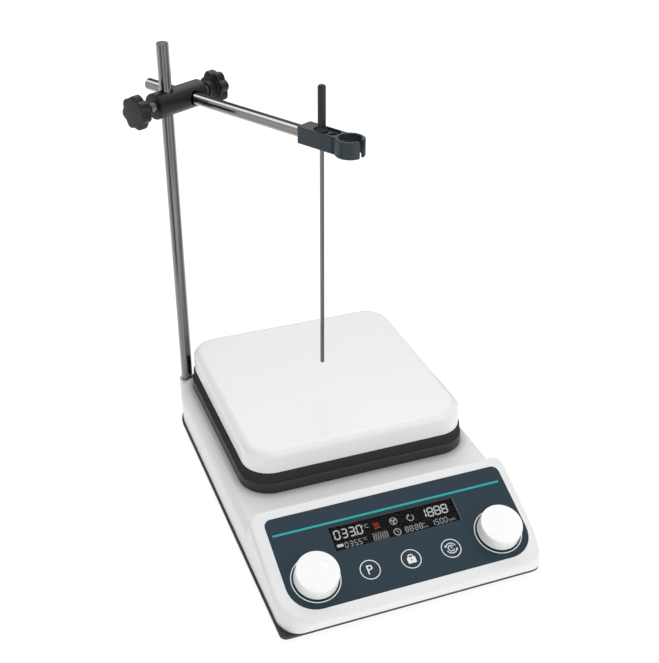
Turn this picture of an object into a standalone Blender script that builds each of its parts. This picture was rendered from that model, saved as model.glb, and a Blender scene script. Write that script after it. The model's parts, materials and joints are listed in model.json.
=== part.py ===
"""Hotplate stirrer with a support rod, boss head, crossbar, sensor clip and temperature probe.

Units are metres and +Z is up. The controls face -Y. Every piece is one object, in the collection
hotplate_stirrer, and the solids that shape the pieces are in the collection cutters.
The plate's centre is the middle of the layout; at the end the whole model is moved so that the
middle of its footprint is the origin.
"""

import math

import bmesh
import bpy
from mathutils import Matrix, Vector

# Fits that every piece uses
SEAT_GAP = 0.0003
TURN_GAP = 0.0003
CUT_OVERRUN = 0.002
BOSS_OVERLAP = 0.0008

# Facets of a round corner, a soft edge, a large cylinder, a small one and a pin
CORNER_STEPS = 9
EDGE_STEPS = 4
ROUND_STEPS = 28
SMALL_STEPS = 18
PIN_STEPS = 10

# Heating plate
PLATE_WIDTH = 0.140
PLATE_HEIGHT = 0.0143
PLATE_CORNER_RADIUS = 0.017
PLATE_EDGE_RADIUS = 0.0045
PLATE_TOP_THICKNESS = 0.005
PLATE_SKIRT_THICKNESS = 0.005

# Black insulating frame under the plate
BAND_PROUD = 0.001
BAND_HEIGHT = 0.0128
BAND_WALL = 0.0045
BAND_EDGE_RADIUS = 0.0012
BAND_FLANGE_PROUD = 0.0021
BAND_FLANGE_HEIGHT = 0.0066

# Housing: deck, walls and the heights above the bench
SIDE_MARGIN = 0.01125
REAR_MARGIN = 0.009
FOOT_HEIGHT = 0.004
TRAY_RIM_HEIGHT = 0.002
DECK_HEIGHT = 0.0264
WALL = 0.0025
DECK_EDGE_RADIUS = 0.006
REAR_CORNER_RADIUS = 0.028
INNER_CORNER_RADIUS = 0.004
DECK_OPENING_MARGIN = 0.012

# Sloping control console. Its sides stand out from the deck's by a step too small to see
PANEL_SLOPE = math.radians(21.66)
PLATE_TO_FASCIA = 0.0324
FASCIA_FRONT_Z = 0.0169
CONSOLE_REAR_MARGIN = 0.0065
CONSOLE_FRONT_MARGIN = 0.0067
CONSOLE_EDGE_RADIUS = 0.0025
CONSOLE_REAR_CORNER = 0.008
CONSOLE_SIDE_STEP = 0.00005
CONSOLE_BASE_RADIUS = 0.0128

# Fascia
FASCIA_SIDE_MARGIN = 0.0082
FASCIA_LENGTH = 0.0585
FASCIA_THICKNESS = 0.0015
FASCIA_FRONT_RADIUS = 0.0162
FASCIA_REAR_RADIUS = 0.0044
FASCIA_LEDGE = 0.004
FASCIA_POST_RADIUS = 0.0022
FASCIA_POST_INSET = 0.004

# Display
DISPLAY_SIDE_MARGIN = 0.03465
DISPLAY_HEIGHT = 0.0149
DISPLAY_DROP_SHARE = 0.359
DISPLAY_SHIFT = 0.0005
DISPLAY_FRAME = 0.0026
WINDOW_SUNK = 0.0001

# Control board behind the fascia
BOARD_DEPTH = 0.009
BOARD_THICKNESS = 0.0016
BOARD_SIDE_MARGIN = 0.009
BOARD_END_MARGIN = 0.0072

# Keys and their switches
KEY_RADIUS = 0.0050
KEY_SPACING_SHARE = 0.222
KEY_DROP_SHARE = 0.7500
KEY_PROUD = 0.0003
KEY_FLANGE_WIDTH = 0.0011
KEY_FLANGE_THICKNESS = 0.001
KEY_STEM_RADIUS = 0.002
KEY_TRAVEL = 0.0005
KEY_SPARE = 0.00015
SWITCH_WIDTH = 0.006
SWITCH_HEIGHT = 0.0032

# Dials and their encoders
DIAL_SIDE_INSET = 0.01765
DIAL_DROP_SHARE = 0.7025
DIAL_RADIUS = 0.0125
DIAL_TAPER = 0.0003
DIAL_EDGE_RADIUS = 0.0006
DIAL_TOP = 0.0093
DIAL_LIFT = 0.0009
DIAL_WALL = 0.0018
DIAL_HUB_RADIUS = 0.0056
DIAL_HUB_REACH = 0.0016
SHAFT_RADIUS = 0.003
SHAFT_CAP = 0.0016
SHAFT_TAIL = 0.0014
ENCODER_WIDTH = 0.0124
ENCODER_SUNK = 0.0006
BUSHING_WALL = 0.0008
DETENT_RADIUS = 0.0046
DETENT_THICKNESS = 0.0015
DETENT_LIFT = 0.0022
DETENT_ROOM = 0.0006

# Base tray and feet
TRAY_STEP = 0.0015
TRAY_PROUD = 0.0003
TRAY_FRONT_RADIUS = 0.004
FOOT_RADIUS = 0.008
FOOT_INSET = 0.019
FOOT_CHAMFER = 0.0008
FOOT_STEM_RADIUS = 0.0026
FOOT_STEM_LENGTH = 0.0022
SCREW_POST_RADIUS = 0.004
SCREW_POST_INSET = 0.0115
SCREW_POST_FRONT = 0.016
SCREW_POST_REAR = 0.005
SCREW_BORE_RADIUS = 0.0013
SCREW_BORE_DEPTH = 0.012
SCREW_HOLE_RADIUS = 0.0018
SCREW_HEAD_RADIUS = 0.0034
SCREW_HEAD_DEPTH = 0.0016
VENT_WIDTH = 0.003
VENT_LENGTH = 0.026
VENT_PITCH = 0.007
VENT_COUNT = 7

# Heater, shield and the pillars that carry the plate
PILLAR_INSET = 0.020
PILLAR_RADIUS = 0.0045
PILLAR_NECK_RADIUS = 0.003
HEATER_SIDE_MARGIN = 0.015
HEATER_THICKNESS = 0.003
SHIELD_GAP = 0.0012
SHIELD_THICKNESS = 0.0008
SHIELD_MARGIN = 0.0065
SHIELD_CORNER_RADIUS = 0.012

# Stirring motor and magnet carrier
MOTOR_RADIUS = 0.024
MOTOR_HEIGHT = 0.0215
MOTOR_EDGE_RADIUS = 0.0015
MOTOR_NECK_RADIUS = 0.006
MOTOR_NECK_HEIGHT = 0.0015
BRACKET_WIDTH = 0.060
BRACKET_CORNER_RADIUS = 0.005
BRACKET_THICKNESS = 0.0015
BRACKET_BORE_RADIUS = 0.010
BRACKET_LIFT = 0.001
BRACKET_POST_RADIUS = 0.0035
ROTOR_GAP = 0.0005
ROTOR_SHAFT_RADIUS = 0.002
ROTOR_SHAFT_LENGTH = 0.010
ROTOR_HUB_RADIUS = 0.006
ROTOR_HUB_HEIGHT = 0.0022
ROTOR_BAR_LENGTH = 0.066
ROTOR_BAR_WIDTH = 0.018
ROTOR_BAR_THICKNESS = 0.004
MAGNET_RADIUS = 0.007
MAGNET_HEIGHT = 0.006
MAGNET_SEAT_DEPTH = 0.001

# Power board
POWER_BOARD_BRACKET_GAP = 0.00675
POWER_BOARD_PILLAR_GAP = 0.0055
POWER_BOARD_LIFT = 0.0025
POWER_BOARD_SIDE_GAP = 0.006
POWER_POST_RADIUS = 0.0025
POWER_POST_INSET = 0.004
TRANSFORMER_WIDTH = 0.024
TRANSFORMER_LENGTH = 0.028
TRANSFORMER_HEIGHT = 0.0125
TRANSFORMER_EDGE_RADIUS = 0.001
CAPACITOR_RADIUS = 0.006
CAPACITOR_HEIGHT = 0.0115
CAPACITOR_SPACING_SHARE = 0.2

# Rear sockets, all centred on one height
SOCKET_RISE = 0.0096
FLANGE_THICKNESS = 0.0015
INLET_WIDTH = 0.030
INLET_HEIGHT = 0.018
INLET_CORNER_RADIUS = 0.0015
INLET_BODY_MARGIN = 0.0016
INLET_BODY_HEIGHT_MARGIN = 0.0006
INLET_WALL = 0.0013
INLET_DEPTH = 0.0165
INLET_FLOOR = 0.002
PIN_SPACING = 0.007
PIN_OFFSET = 0.002
PIN_THICKNESS = 0.002
PIN_WIDTH = 0.004
PIN_SUNK = 0.0015
PIN_TAIL = 0.003
BEZEL_WIDTH = 0.021
BEZEL_HEIGHT = 0.015
BEZEL_CORNER_RADIUS = 0.001
BEZEL_LIP = 0.001
BEZEL_WALL = 0.0009
BEZEL_DEPTH = 0.012
BEZEL_FLOOR = 0.0015
ROCKER_TILT = math.radians(8)
ROCKER_FACE_ANGLE = math.radians(62)
ROCKER_NOTCH = 0.0014
FUSE_FLANGE_RADIUS = 0.0072
FUSE_BODY_RADIUS = 0.006
FUSE_DEPTH = 0.027
FUSE_BORE_RADIUS = 0.0042
FUSE_FLOOR = 0.0015
FUSE_CAP_RADIUS = 0.0055
FUSE_CAP_THICKNESS = 0.0035
FUSE_CAP_PLUG = 0.006
FUSE_CAP_SLOT_WIDTH = 0.0012
FUSE_CAP_SLOT_DEPTH = 0.001
FUSE_CAP_SLOT_LENGTH = 0.008
FUSE_RADIUS = 0.0026
FUSE_LENGTH = 0.020
FUSE_GRIP = 0.003
JACK_FLANGE_RADIUS = 0.0055
JACK_BODY_RADIUS = 0.004
JACK_DEPTH = 0.011
JACK_BORE_RADIUS = 0.0018
JACK_BORE_DEPTH = 0.009

# Rear ear, its insert and the support rod
ROD_SIDE_INSET = 0.00915
ROD_REAR_INSET = 0.008
ROD_RADIUS = 0.00375
ROD_TOP_Z = 0.2605
ROD_CHAMFER = 0.0006
EAR_RADIUS = 0.0054
EAR_DROP = 0.0018
EAR_TAPER_HEIGHT = 0.0055
EAR_TIP_RADIUS = 0.0018
INSERT_WALL = 0.001
INSERT_LENGTH = 0.014
SPIGOT_RADIUS = 0.0029
SPIGOT_LENGTH = 0.0125

# Boss head and its clamps. X runs along the boss, away from the rod
BOSS_DROP = 0.0363
BOSS_TURN = math.radians(28.6)
BOSS_RADIUS = 0.0079
BOSS_NEAR_END = 0.0104
BOSS_FAR_END = 0.0272
BOSS_CHAMFER = 0.0006
BAR_OFFSET = 0.0170
BAR_HOLE_PLAY = 0.0009
ROD_HOLE_PLAY = 0.0007
CLAMP_SCREW_RADIUS = 0.0029
CLAMP_STANDOFF = 0.0047
CLAMP_HUB_RADIUS = 0.0052
CLAMP_HUB_LENGTH = 0.0051
CLAMP_STAR_RADIUS = 0.0103
CLAMP_LOBE_DEPTH = 0.0009
CLAMP_LOBES = 7
CLAMP_LOBE_STEPS = 6
CLAMP_STAR_THICKNESS = 0.0060
CLAMP_STAR_EDGE = 0.0008
CLAMP_SCREW_SUNK = 0.006

# Crossbar, along the clip frame's X
BAR_RADIUS = 0.00365
BAR_REAR = 0.0353
BAR_CHAMFER = 0.0005

# Sensor clip on the bar's end
CLIP_START = 0.0947
CLIP_WIDTH = 0.0114
CLIP_HEIGHT = 0.0100
CLIP_CORNER_RADIUS = 0.001
CLIP_EDGE_RADIUS = 0.0005
CLIP_SOCKET_DEPTH = 0.0086
CLIP_RING_X = 0.1286
CLIP_RING_RADIUS = 0.0086
CLIP_RING_WALL = 0.0019
CLIP_RING_STEP = 0.00005
CLIP_SLOT_WIDTH = 0.0034
CLIP_SPARE_X = 0.1163
CLIP_SPARE_RADIUS = 0.0027
CLIP_RECESS_HALF_WIDTH = 0.0046
CLIP_RECESS_DEPTH = 0.0014

# Temperature probe
PROBE_X = 0.1083
SHEATH_RADIUS = 0.00125
SHEATH_CLEARANCE = 0.0188
SHEATH_TIP_LENGTH = 0.0012
SHEATH_SUNK = 0.005
HANDLE_RADIUS = 0.0023
HANDLE_FOOT_RADIUS = 0.0037
HANDLE_FOOT_EDGE = 0.0006
HANDLE_FOOT_HEIGHT = 0.0022
HANDLE_LENGTH = 0.0262
HANDLE_CAP_HEIGHT = 0.0008
PROBE_HOLE_PLAY = 0.0004

# Heights and places that follow from the sizes above
BODY_WIDTH = PLATE_WIDTH + 2 * SIDE_MARGIN
BODY_REAR_Y = PLATE_WIDTH / 2 + REAR_MARGIN
DECK_Z = FOOT_HEIGHT + DECK_HEIGHT
HOUSING_BASE_Z = FOOT_HEIGHT + TRAY_RIM_HEIGHT
TRAY_THICKNESS = TRAY_RIM_HEIGHT - SEAT_GAP
TRAY_FLOOR_Z = FOOT_HEIGHT + TRAY_THICKNESS + TRAY_STEP
BAND_Z = DECK_Z + SEAT_GAP
PLATE_Z = BAND_Z + BAND_HEIGHT + SEAT_GAP
PLATE_TOP_Z = PLATE_Z + PLATE_HEIGHT
PLATE_UNDERSIDE_Z = PLATE_TOP_Z - PLATE_TOP_THICKNESS
HEATER_Z = PLATE_UNDERSIDE_Z - SEAT_GAP - HEATER_THICKNESS
SHIELD_Z = HEATER_Z - SHIELD_GAP - SHIELD_THICKNESS
PILLAR_REACH = PLATE_WIDTH / 2 - PILLAR_INSET
FASCIA_TOP_Y = -(PLATE_WIDTH / 2 + PLATE_TO_FASCIA)
FASCIA_TOP_Z = FASCIA_FRONT_Z + FASCIA_LENGTH * math.sin(PANEL_SLOPE)
CONSOLE_WIDTH = BODY_WIDTH + 2 * CONSOLE_SIDE_STEP
CONSOLE_LENGTH = FASCIA_LENGTH + CONSOLE_REAR_MARGIN + CONSOLE_FRONT_MARGIN
CONSOLE_DEPTH = (FASCIA_TOP_Z + CONSOLE_REAR_MARGIN) / math.cos(PANEL_SLOPE)
FASCIA_WIDTH = BODY_WIDTH - 2 * FASCIA_SIDE_MARGIN
DISPLAY_WIDTH = FASCIA_WIDTH - 2 * DISPLAY_SIDE_MARGIN
DISPLAY_DROP = FASCIA_LENGTH * DISPLAY_DROP_SHARE
DIAL_SPACING = FASCIA_WIDTH - 2 * DIAL_SIDE_INSET
DIAL_DROP = FASCIA_LENGTH * DIAL_DROP_SHARE
KEY_SPACING = DIAL_SPACING * KEY_SPACING_SHARE
KEY_DROP = FASCIA_LENGTH * KEY_DROP_SHARE
HEATER_RADIUS = PLATE_WIDTH / 2 - HEATER_SIDE_MARGIN
POWER_BOARD_SPACE = BODY_WIDTH / 2 - WALL - POWER_BOARD_SIDE_GAP - BRACKET_WIDTH / 2
POWER_BOARD_WIDTH = POWER_BOARD_SPACE - POWER_BOARD_BRACKET_GAP
POWER_BOARD_LENGTH = 2 * (PILLAR_REACH - PILLAR_RADIUS - POWER_BOARD_PILLAR_GAP)
REAR_FLAT = BODY_WIDTH - 2 * REAR_CORNER_RADIUS
SOCKET_WIDTHS = INLET_WIDTH + BEZEL_WIDTH + 2 * FUSE_FLANGE_RADIUS + 2 * JACK_FLANGE_RADIUS
SOCKET_GAP = (REAR_FLAT - SOCKET_WIDTHS) / 5
INLET_X = REAR_FLAT / 2 - SOCKET_GAP - INLET_WIDTH / 2
ROCKER_X = INLET_X - INLET_WIDTH / 2 - SOCKET_GAP - BEZEL_WIDTH / 2
FUSE_X = ROCKER_X - BEZEL_WIDTH / 2 - SOCKET_GAP - FUSE_FLANGE_RADIUS
JACK_X = FUSE_X - FUSE_FLANGE_RADIUS - SOCKET_GAP - JACK_FLANGE_RADIUS
SOCKET_Z = HOUSING_BASE_Z + SOCKET_RISE
EAR_TOP_Z = DECK_Z - EAR_DROP
ROD_X = ROD_SIDE_INSET - BODY_WIDTH / 2
ROD_Y = BODY_REAR_Y - ROD_REAR_INSET
BOSS_Z = ROD_TOP_Z - BOSS_DROP
SHEATH_TIP_Z = PLATE_TOP_Z + SHEATH_CLEARANCE
MOTOR_Z = TRAY_FLOOR_Z + BRACKET_LIFT + 2 * SEAT_GAP + BRACKET_THICKNESS
ROTOR_Z = MOTOR_Z + MOTOR_HEIGHT + MOTOR_NECK_HEIGHT + ROTOR_GAP


def front_y_at(height):
    """The console's front wall, which stands square to the slope, at a height above the bench."""
    edge = FASCIA_LENGTH + CONSOLE_FRONT_MARGIN
    edge_y = FASCIA_TOP_Y - edge * math.cos(PANEL_SLOPE)
    edge_z = FASCIA_TOP_Z - edge * math.sin(PANEL_SLOPE)
    return edge_y + (edge_z - height) * math.tan(PANEL_SLOPE)


TRAY_FRONT_Y = front_y_at(FOOT_HEIGHT)
CONSOLE_RIM_Z = FASCIA_TOP_Z - (FASCIA_LENGTH + CONSOLE_FRONT_MARGIN) * math.sin(PANEL_SLOPE)
CONSOLE_TAPER = (CONSOLE_RIM_Z - HOUSING_BASE_Z) / math.cos(PANEL_SLOPE)


def clear_scene():
    for obj in list(bpy.data.objects):
        bpy.data.objects.remove(obj, do_unlink=True)


def new_collection(name):
    collection = bpy.data.collections.new(name)
    bpy.context.scene.collection.children.link(collection)
    return collection


clear_scene()
PARTS = new_collection("hotplate_stirrer")
CUTTERS = new_collection("cutters")


def frame(name, parent=None, location=(0, 0, 0), rotation=(0, 0, 0)):
    """An empty that carries the pieces of one sub-assembly."""
    empty = bpy.data.objects.new(name, None)
    CUTTERS.objects.link(empty)
    empty.parent = parent
    empty.location = location
    empty.rotation_euler = rotation
    return empty


def finish(name, colour, roughness, metallic=0.0):
    material = bpy.data.materials.new(name)
    material.use_nodes = True
    shader = material.node_tree.nodes["Principled BSDF"]
    shader.inputs["Base Color"].default_value = (*colour, 1.0)
    shader.inputs["Roughness"].default_value = roughness
    shader.inputs["Metallic"].default_value = metallic
    material.diffuse_color = (*colour, 1.0)
    return material


WHITE_PLASTIC = ((0.84, 0.84, 0.85), 0.35, 0.0)
WHITE_ENAMEL = ((0.90, 0.90, 0.90), 0.28, 0.0)
BLACK_PLASTIC = ((0.03, 0.03, 0.032), 0.45, 0.0)
DARK_TRAY = ((0.05, 0.055, 0.06), 0.5, 0.0)
FASCIA_BLUE = ((0.045, 0.072, 0.10), 0.4, 0.0)
CLIP_BLUE = ((0.045, 0.062, 0.078), 0.45, 0.0)
DISPLAY_BLACK = ((0.01, 0.01, 0.012), 0.1, 0.0)
RUBBER = ((0.02, 0.02, 0.02), 0.85, 0.0)
BOARD_GREEN = ((0.02, 0.14, 0.06), 0.5, 0.0)
STEEL = ((0.62, 0.62, 0.64), 0.15, 1.0)
ZINC = ((0.55, 0.56, 0.58), 0.4, 1.0)
BRASS = ((0.72, 0.52, 0.2), 0.3, 1.0)
MAGNET = ((0.35, 0.35, 0.37), 0.3, 1.0)
MICA = ((0.45, 0.38, 0.28), 0.7, 0.0)
GLASS = ((0.8, 0.84, 0.84), 0.1, 0.0)


def piece(name, mesh, look, parent, location=(0, 0, 0), rotation=(0, 0, 0)):
    """One part of the product, with a finish of its own."""
    obj = bpy.data.objects.new(name, mesh)
    mesh.name = name
    PARTS.objects.link(obj)
    obj.parent = parent
    obj.location = location
    obj.rotation_euler = rotation
    mesh.materials.clear()
    mesh.materials.append(finish(name + "_finish", *look))
    return obj


def tool(name, mesh, parent, location=(0, 0, 0), rotation=(0, 0, 0)):
    """A solid that shapes a part and is not a part itself."""
    obj = bpy.data.objects.new(name, mesh)
    CUTTERS.objects.link(obj)
    obj.parent = parent
    obj.location = location
    obj.rotation_euler = rotation
    obj.display_type = "WIRE"
    obj.hide_render = True
    return obj


def combine(target, other, operation):
    modifier = target.modifiers.new(other.name, "BOOLEAN")
    modifier.operation = operation
    modifier.solver = "EXACT"
    modifier.object = other


def cut(target, *others):
    for other in others:
        combine(target, other, "DIFFERENCE")


def fuse(target, *others):
    for other in others:
        combine(target, other, "UNION")


def shaded(mesh):
    mesh.shade_smooth()
    mesh.set_sharp_from_angle(angle=math.radians(35))
    return mesh


def mesh_from(build, name):
    """The mesh of a bmesh, with round stretches shaded smooth."""
    bmesh.ops.recalc_face_normals(build, faces=build.faces)
    mesh = bpy.data.meshes.new(name)
    build.to_mesh(mesh)
    build.free()
    return shaded(mesh)


def mesh_of(obj):
    """The evaluated mesh of a curve or a turned outline, welded, after which that object goes."""
    bpy.context.scene.collection.objects.link(obj)
    graph = bpy.context.evaluated_depsgraph_get()
    mesh = bpy.data.meshes.new_from_object(obj.evaluated_get(graph))
    bpy.data.objects.remove(obj, do_unlink=True)
    build = bmesh.new()
    build.from_mesh(mesh)
    bmesh.ops.remove_doubles(build, verts=build.verts, dist=1e-6)
    bpy.data.meshes.remove(mesh)
    return mesh_from(build, "solid")


def bevel_edges(build, edges, radius, steps):
    bmesh.ops.bevel(
        build, geom=edges, offset=radius, segments=steps, profile=0.5, affect="EDGES", clamp_overlap=False
    )


def upright_edge(build, x, y, near):
    """The edge of a block that stands at one of its corners."""
    for edge in build.edges:
        if all(abs(v.co.x - x) < near and abs(v.co.y - y) < near for v in edge.verts):
            return [edge]
    return []


def level_edges(build, z, near):
    """The edges round a block's top or bottom face."""
    return [
        edge
        for edge in build.edges
        if all(abs(v.co.z - z) < near for v in edge.verts) and len(edge.link_faces) == 2
        and any(abs(face.normal.z) < 0.5 for face in edge.link_faces)
    ]


def block(width, depth, height, corners=(0, 0, 0, 0), top_edge=0, bottom_edge=0, corner_steps=CORNER_STEPS):
    """A block on the middle of its base.

    Its upright corners have the radii front left, front right, rear right, rear left, and its top and
    bottom edges may be soft.
    """
    build = bmesh.new()
    bmesh.ops.create_cube(build, size=1)
    bmesh.ops.scale(build, vec=(width, depth, height), verts=build.verts)
    bmesh.ops.translate(build, vec=(0, 0, height / 2), verts=build.verts)
    near = min(width, depth, height) / 1000
    signs = ((-1, -1), (1, -1), (1, 1), (-1, 1))
    for (side, end), radius in zip(signs, corners):
        if radius > 0:
            bevel_edges(build, upright_edge(build, side * width / 2, end * depth / 2, near), radius, corner_steps)
    build.normal_update()
    for radius, level in ((top_edge, height), (bottom_edge, 0)):
        if radius > 0:
            bevel_edges(build, level_edges(build, level, near), radius, EDGE_STEPS)
    return mesh_from(build, "block")


def tapered_block(width, depth, levels, top_edge=0):
    """A block on the middle of its base whose four corner radii change from level to level.

    Each level is a height with its radii front left, front right, rear right, rear left.
    """
    build = bmesh.new()
    signs = ((-1, -1, 180), (1, -1, 270), (1, 1, 0), (-1, 1, 90))
    rings = []
    for height, corners in levels:
        outline = []
        for (side, end, start), radius in zip(signs, corners):
            centre = (side * (width / 2 - radius), end * (depth / 2 - radius))
            outline += arc(centre, radius, start, start + 90, CORNER_STEPS)
        rings.append([build.verts.new((x, y, height)) for x, y in outline])
    for lower, upper in zip(rings, rings[1:]):
        for i, vertex in enumerate(lower):
            following = (i + 1) % len(lower)
            build.faces.new((vertex, lower[following], upper[following], upper[i]))
    build.faces.new(list(reversed(rings[0])))
    build.faces.new(rings[-1])
    build.normal_update()
    if top_edge > 0:
        top = set(rings[-1])
        rim = [edge for edge in build.edges if set(edge.verts) <= top]
        bevel_edges(build, rim, top_edge, EDGE_STEPS)
    return mesh_from(build, "tapered_block")


def cylinder(radius, length, steps=SMALL_STEPS, axis="Z", end_radius=None, chamfer=0):
    """A cylinder or cone on the middle of its base, which reaches along the given axis."""
    build = bmesh.new()
    bmesh.ops.create_cone(
        build, cap_ends=True, segments=steps, radius1=radius,
        radius2=radius if end_radius is None else end_radius, depth=length,
    )
    bmesh.ops.translate(build, vec=(0, 0, length / 2), verts=build.verts)
    if chamfer > 0:
        build.normal_update()
        rims = level_edges(build, 0, length / 1000) + level_edges(build, length, length / 1000)
        bevel_edges(build, rims, chamfer, 1)
    turns = {
        "Z": Matrix.Identity(4),
        "X": Matrix.Rotation(math.pi / 2, 4, "Y"),
        "Y": Matrix.Rotation(-math.pi / 2, 4, "X"),
    }
    bmesh.ops.transform(build, matrix=turns[axis], verts=build.verts)
    return mesh_from(build, "cylinder")


def turned(profile, steps=SMALL_STEPS, ring=False):
    """A profile of (radius, height) points turned about Z.

    It runs down its outer side, from the axis to the axis, or round a ring.
    """
    outline = bpy.data.meshes.new("profile")
    points = [(radius, 0, height) for radius, height in profile]
    edges = [(i, i + 1) for i in range(len(points) - 1)]
    if ring:
        edges.append((len(points) - 1, 0))
    outline.from_pydata(points, edges, [])
    obj = bpy.data.objects.new("profile", outline)
    screw = obj.modifiers.new("turn", "SCREW")
    screw.axis = "Z"
    screw.angle = math.tau
    screw.steps = steps
    screw.render_steps = steps
    screw.use_merge_vertices = True
    screw.merge_threshold = 0.00001
    return mesh_of(obj)


def slab(outline, thickness, edge=0):
    """A flat outline with the given thickness, standing on its base, with soft edges if wanted."""
    curve = bpy.data.curves.new("outline", "CURVE")
    curve.dimensions = "2D"
    curve.fill_mode = "BOTH"
    curve.extrude = thickness / 2 - edge
    curve.bevel_depth = edge
    curve.bevel_resolution = 0
    curve.offset = -edge
    spline = curve.splines.new("POLY")
    spline.points.add(len(outline) - 1)
    for point, (x, y) in zip(spline.points, outline):
        point.co = (x, y, 0, 1)
    spline.use_cyclic_u = True
    mesh = mesh_of(bpy.data.objects.new("outline", curve))
    mesh.transform(Matrix.Translation((0, 0, thickness / 2)))
    return mesh


def stadium(length, width, steps=SMALL_STEPS):
    """The outline of a bar with round ends, on its own middle."""
    points = []
    for side in (1, -1):
        for i in range(steps // 2 + 1):
            angle = math.pi * i / (steps // 2) - math.pi / 2
            x = side * ((length - width) / 2 + math.cos(angle) * width / 2)
            points.append((x, side * math.sin(angle) * width / 2))
    return points


def arc(centre, radius, start, end, steps):
    """Points of an arc in degrees, as (first, second) coordinates."""
    angles = (math.radians(start + (end - start) * i / steps) for i in range(steps + 1))
    return [(centre[0] + radius * math.cos(a), centre[1] + radius * math.sin(a)) for a in angles]


bench = frame("bench_frame")
panel = frame("panel_frame", bench, (0, FASCIA_TOP_Y, FASCIA_TOP_Z), (PANEL_SLOPE, 0, 0))
rear = frame("rear_frame", bench, (0, BODY_REAR_Y, SOCKET_Z))
boss = frame("boss_frame", bench, (ROD_X, ROD_Y, BOSS_Z), (0, 0, BOSS_TURN))
clip = frame("clip_frame", boss, (BAR_OFFSET, 0, 0), (0, 0, -math.pi / 2))


def body_blocks():
    """The deck's block and the console's, with each one's hollow."""
    corner = REAR_CORNER_RADIUS
    front = FASCIA_FRONT_RADIUS + CONSOLE_FRONT_MARGIN
    deck_length = BODY_REAR_Y - FASCIA_TOP_Y
    deck = block(
        BODY_WIDTH, deck_length, DECK_Z - HOUSING_BASE_Z, (0, 0, corner, corner), DECK_EDGE_RADIUS
    )
    rear_corner = CONSOLE_REAR_CORNER
    base = CONSOLE_BASE_RADIUS
    low_corners = (base, base, rear_corner, rear_corner)
    taper_z = CONSOLE_DEPTH - CONSOLE_TAPER
    console = tapered_block(
        CONSOLE_WIDTH, CONSOLE_LENGTH,
        ((0, low_corners), (taper_z, low_corners), (CONSOLE_DEPTH, (front, front, rear_corner, rear_corner))),
        CONSOLE_EDGE_RADIUS,
    )
    inner = corner - WALL
    deck_hollow = block(
        BODY_WIDTH - 2 * WALL, deck_length - WALL + DECK_OPENING_MARGIN,
        DECK_HEIGHT - WALL, (0, 0, inner, inner), INNER_CORNER_RADIUS,
    )
    inner_low = (base - WALL, base - WALL, INNER_CORNER_RADIUS, INNER_CORNER_RADIUS)
    inner_top = (front - WALL, front - WALL, INNER_CORNER_RADIUS, INNER_CORNER_RADIUS)
    console_hollow = tapered_block(
        CONSOLE_WIDTH - 2 * WALL, CONSOLE_LENGTH - 2 * WALL,
        ((0, inner_low), (taper_z, inner_low), (CONSOLE_DEPTH, inner_top)),
    )
    return deck, console, deck_hollow, console_hollow


def make_upper_housing():
    deck, console, deck_hollow, console_hollow = body_blocks()
    deck_middle = (BODY_REAR_Y + FASCIA_TOP_Y) / 2
    console_middle = -(FASCIA_LENGTH + CONSOLE_FRONT_MARGIN - CONSOLE_REAR_MARGIN) / 2
    shell = piece("upper_housing", deck, WHITE_PLASTIC, bench, (0, deck_middle, HOUSING_BASE_Z))
    fuse(shell, tool("console_block", console, panel, (0, console_middle, -CONSOLE_DEPTH)))
    below = block(2 * BODY_WIDTH, 2 * (BODY_WIDTH + CONSOLE_LENGTH), CONSOLE_DEPTH)
    cut(
        shell,
        tool("below_housing", below, bench, (0, 0, HOUSING_BASE_Z - CONSOLE_DEPTH)),
        tool(
            "deck_hollow", deck_hollow, bench,
            (0, deck_middle - (WALL + DECK_OPENING_MARGIN) / 2, FOOT_HEIGHT),
        ),
        tool(
            "console_hollow", console_hollow, panel,
            (0, console_middle, -CONSOLE_DEPTH - WALL - FASCIA_THICKNESS - SEAT_GAP),
        ),
    )
    cut_deck_opening(shell)
    cut_fascia_seat(shell)
    cut_socket_holes(shell)
    add_screw_posts(shell)
    add_ear(shell)
    return shell


def cut_deck_opening(shell):
    width = 2 * PILLAR_REACH + DECK_OPENING_MARGIN + PILLAR_RADIUS
    corners = (DECK_OPENING_MARGIN,) * 4
    opening = block(width, width, DECK_HEIGHT, corners)
    cut(shell, tool("deck_opening", opening, bench, (0, 0, DECK_Z - WALL - CUT_OVERRUN)))


def cut_fascia_seat(shell):
    radii = (FASCIA_FRONT_RADIUS, FASCIA_FRONT_RADIUS, FASCIA_REAR_RADIUS, FASCIA_REAR_RADIUS)
    depth = FASCIA_THICKNESS + SEAT_GAP
    seat = block(FASCIA_WIDTH, FASCIA_LENGTH, depth + CUT_OVERRUN, radii)
    inner = tuple(max(radius - FASCIA_LEDGE, FASCIA_LEDGE / 2) for radius in radii)
    window = block(
        FASCIA_WIDTH - 2 * FASCIA_LEDGE, FASCIA_LENGTH - 2 * FASCIA_LEDGE,
        depth + WALL + 2 * CUT_OVERRUN, inner,
    )
    middle = -FASCIA_LENGTH / 2
    cut(
        shell,
        tool("fascia_seat", seat, panel, (0, middle, -depth)),
        tool("fascia_window", window, panel, (0, middle, -depth - WALL - CUT_OVERRUN)),
    )


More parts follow.
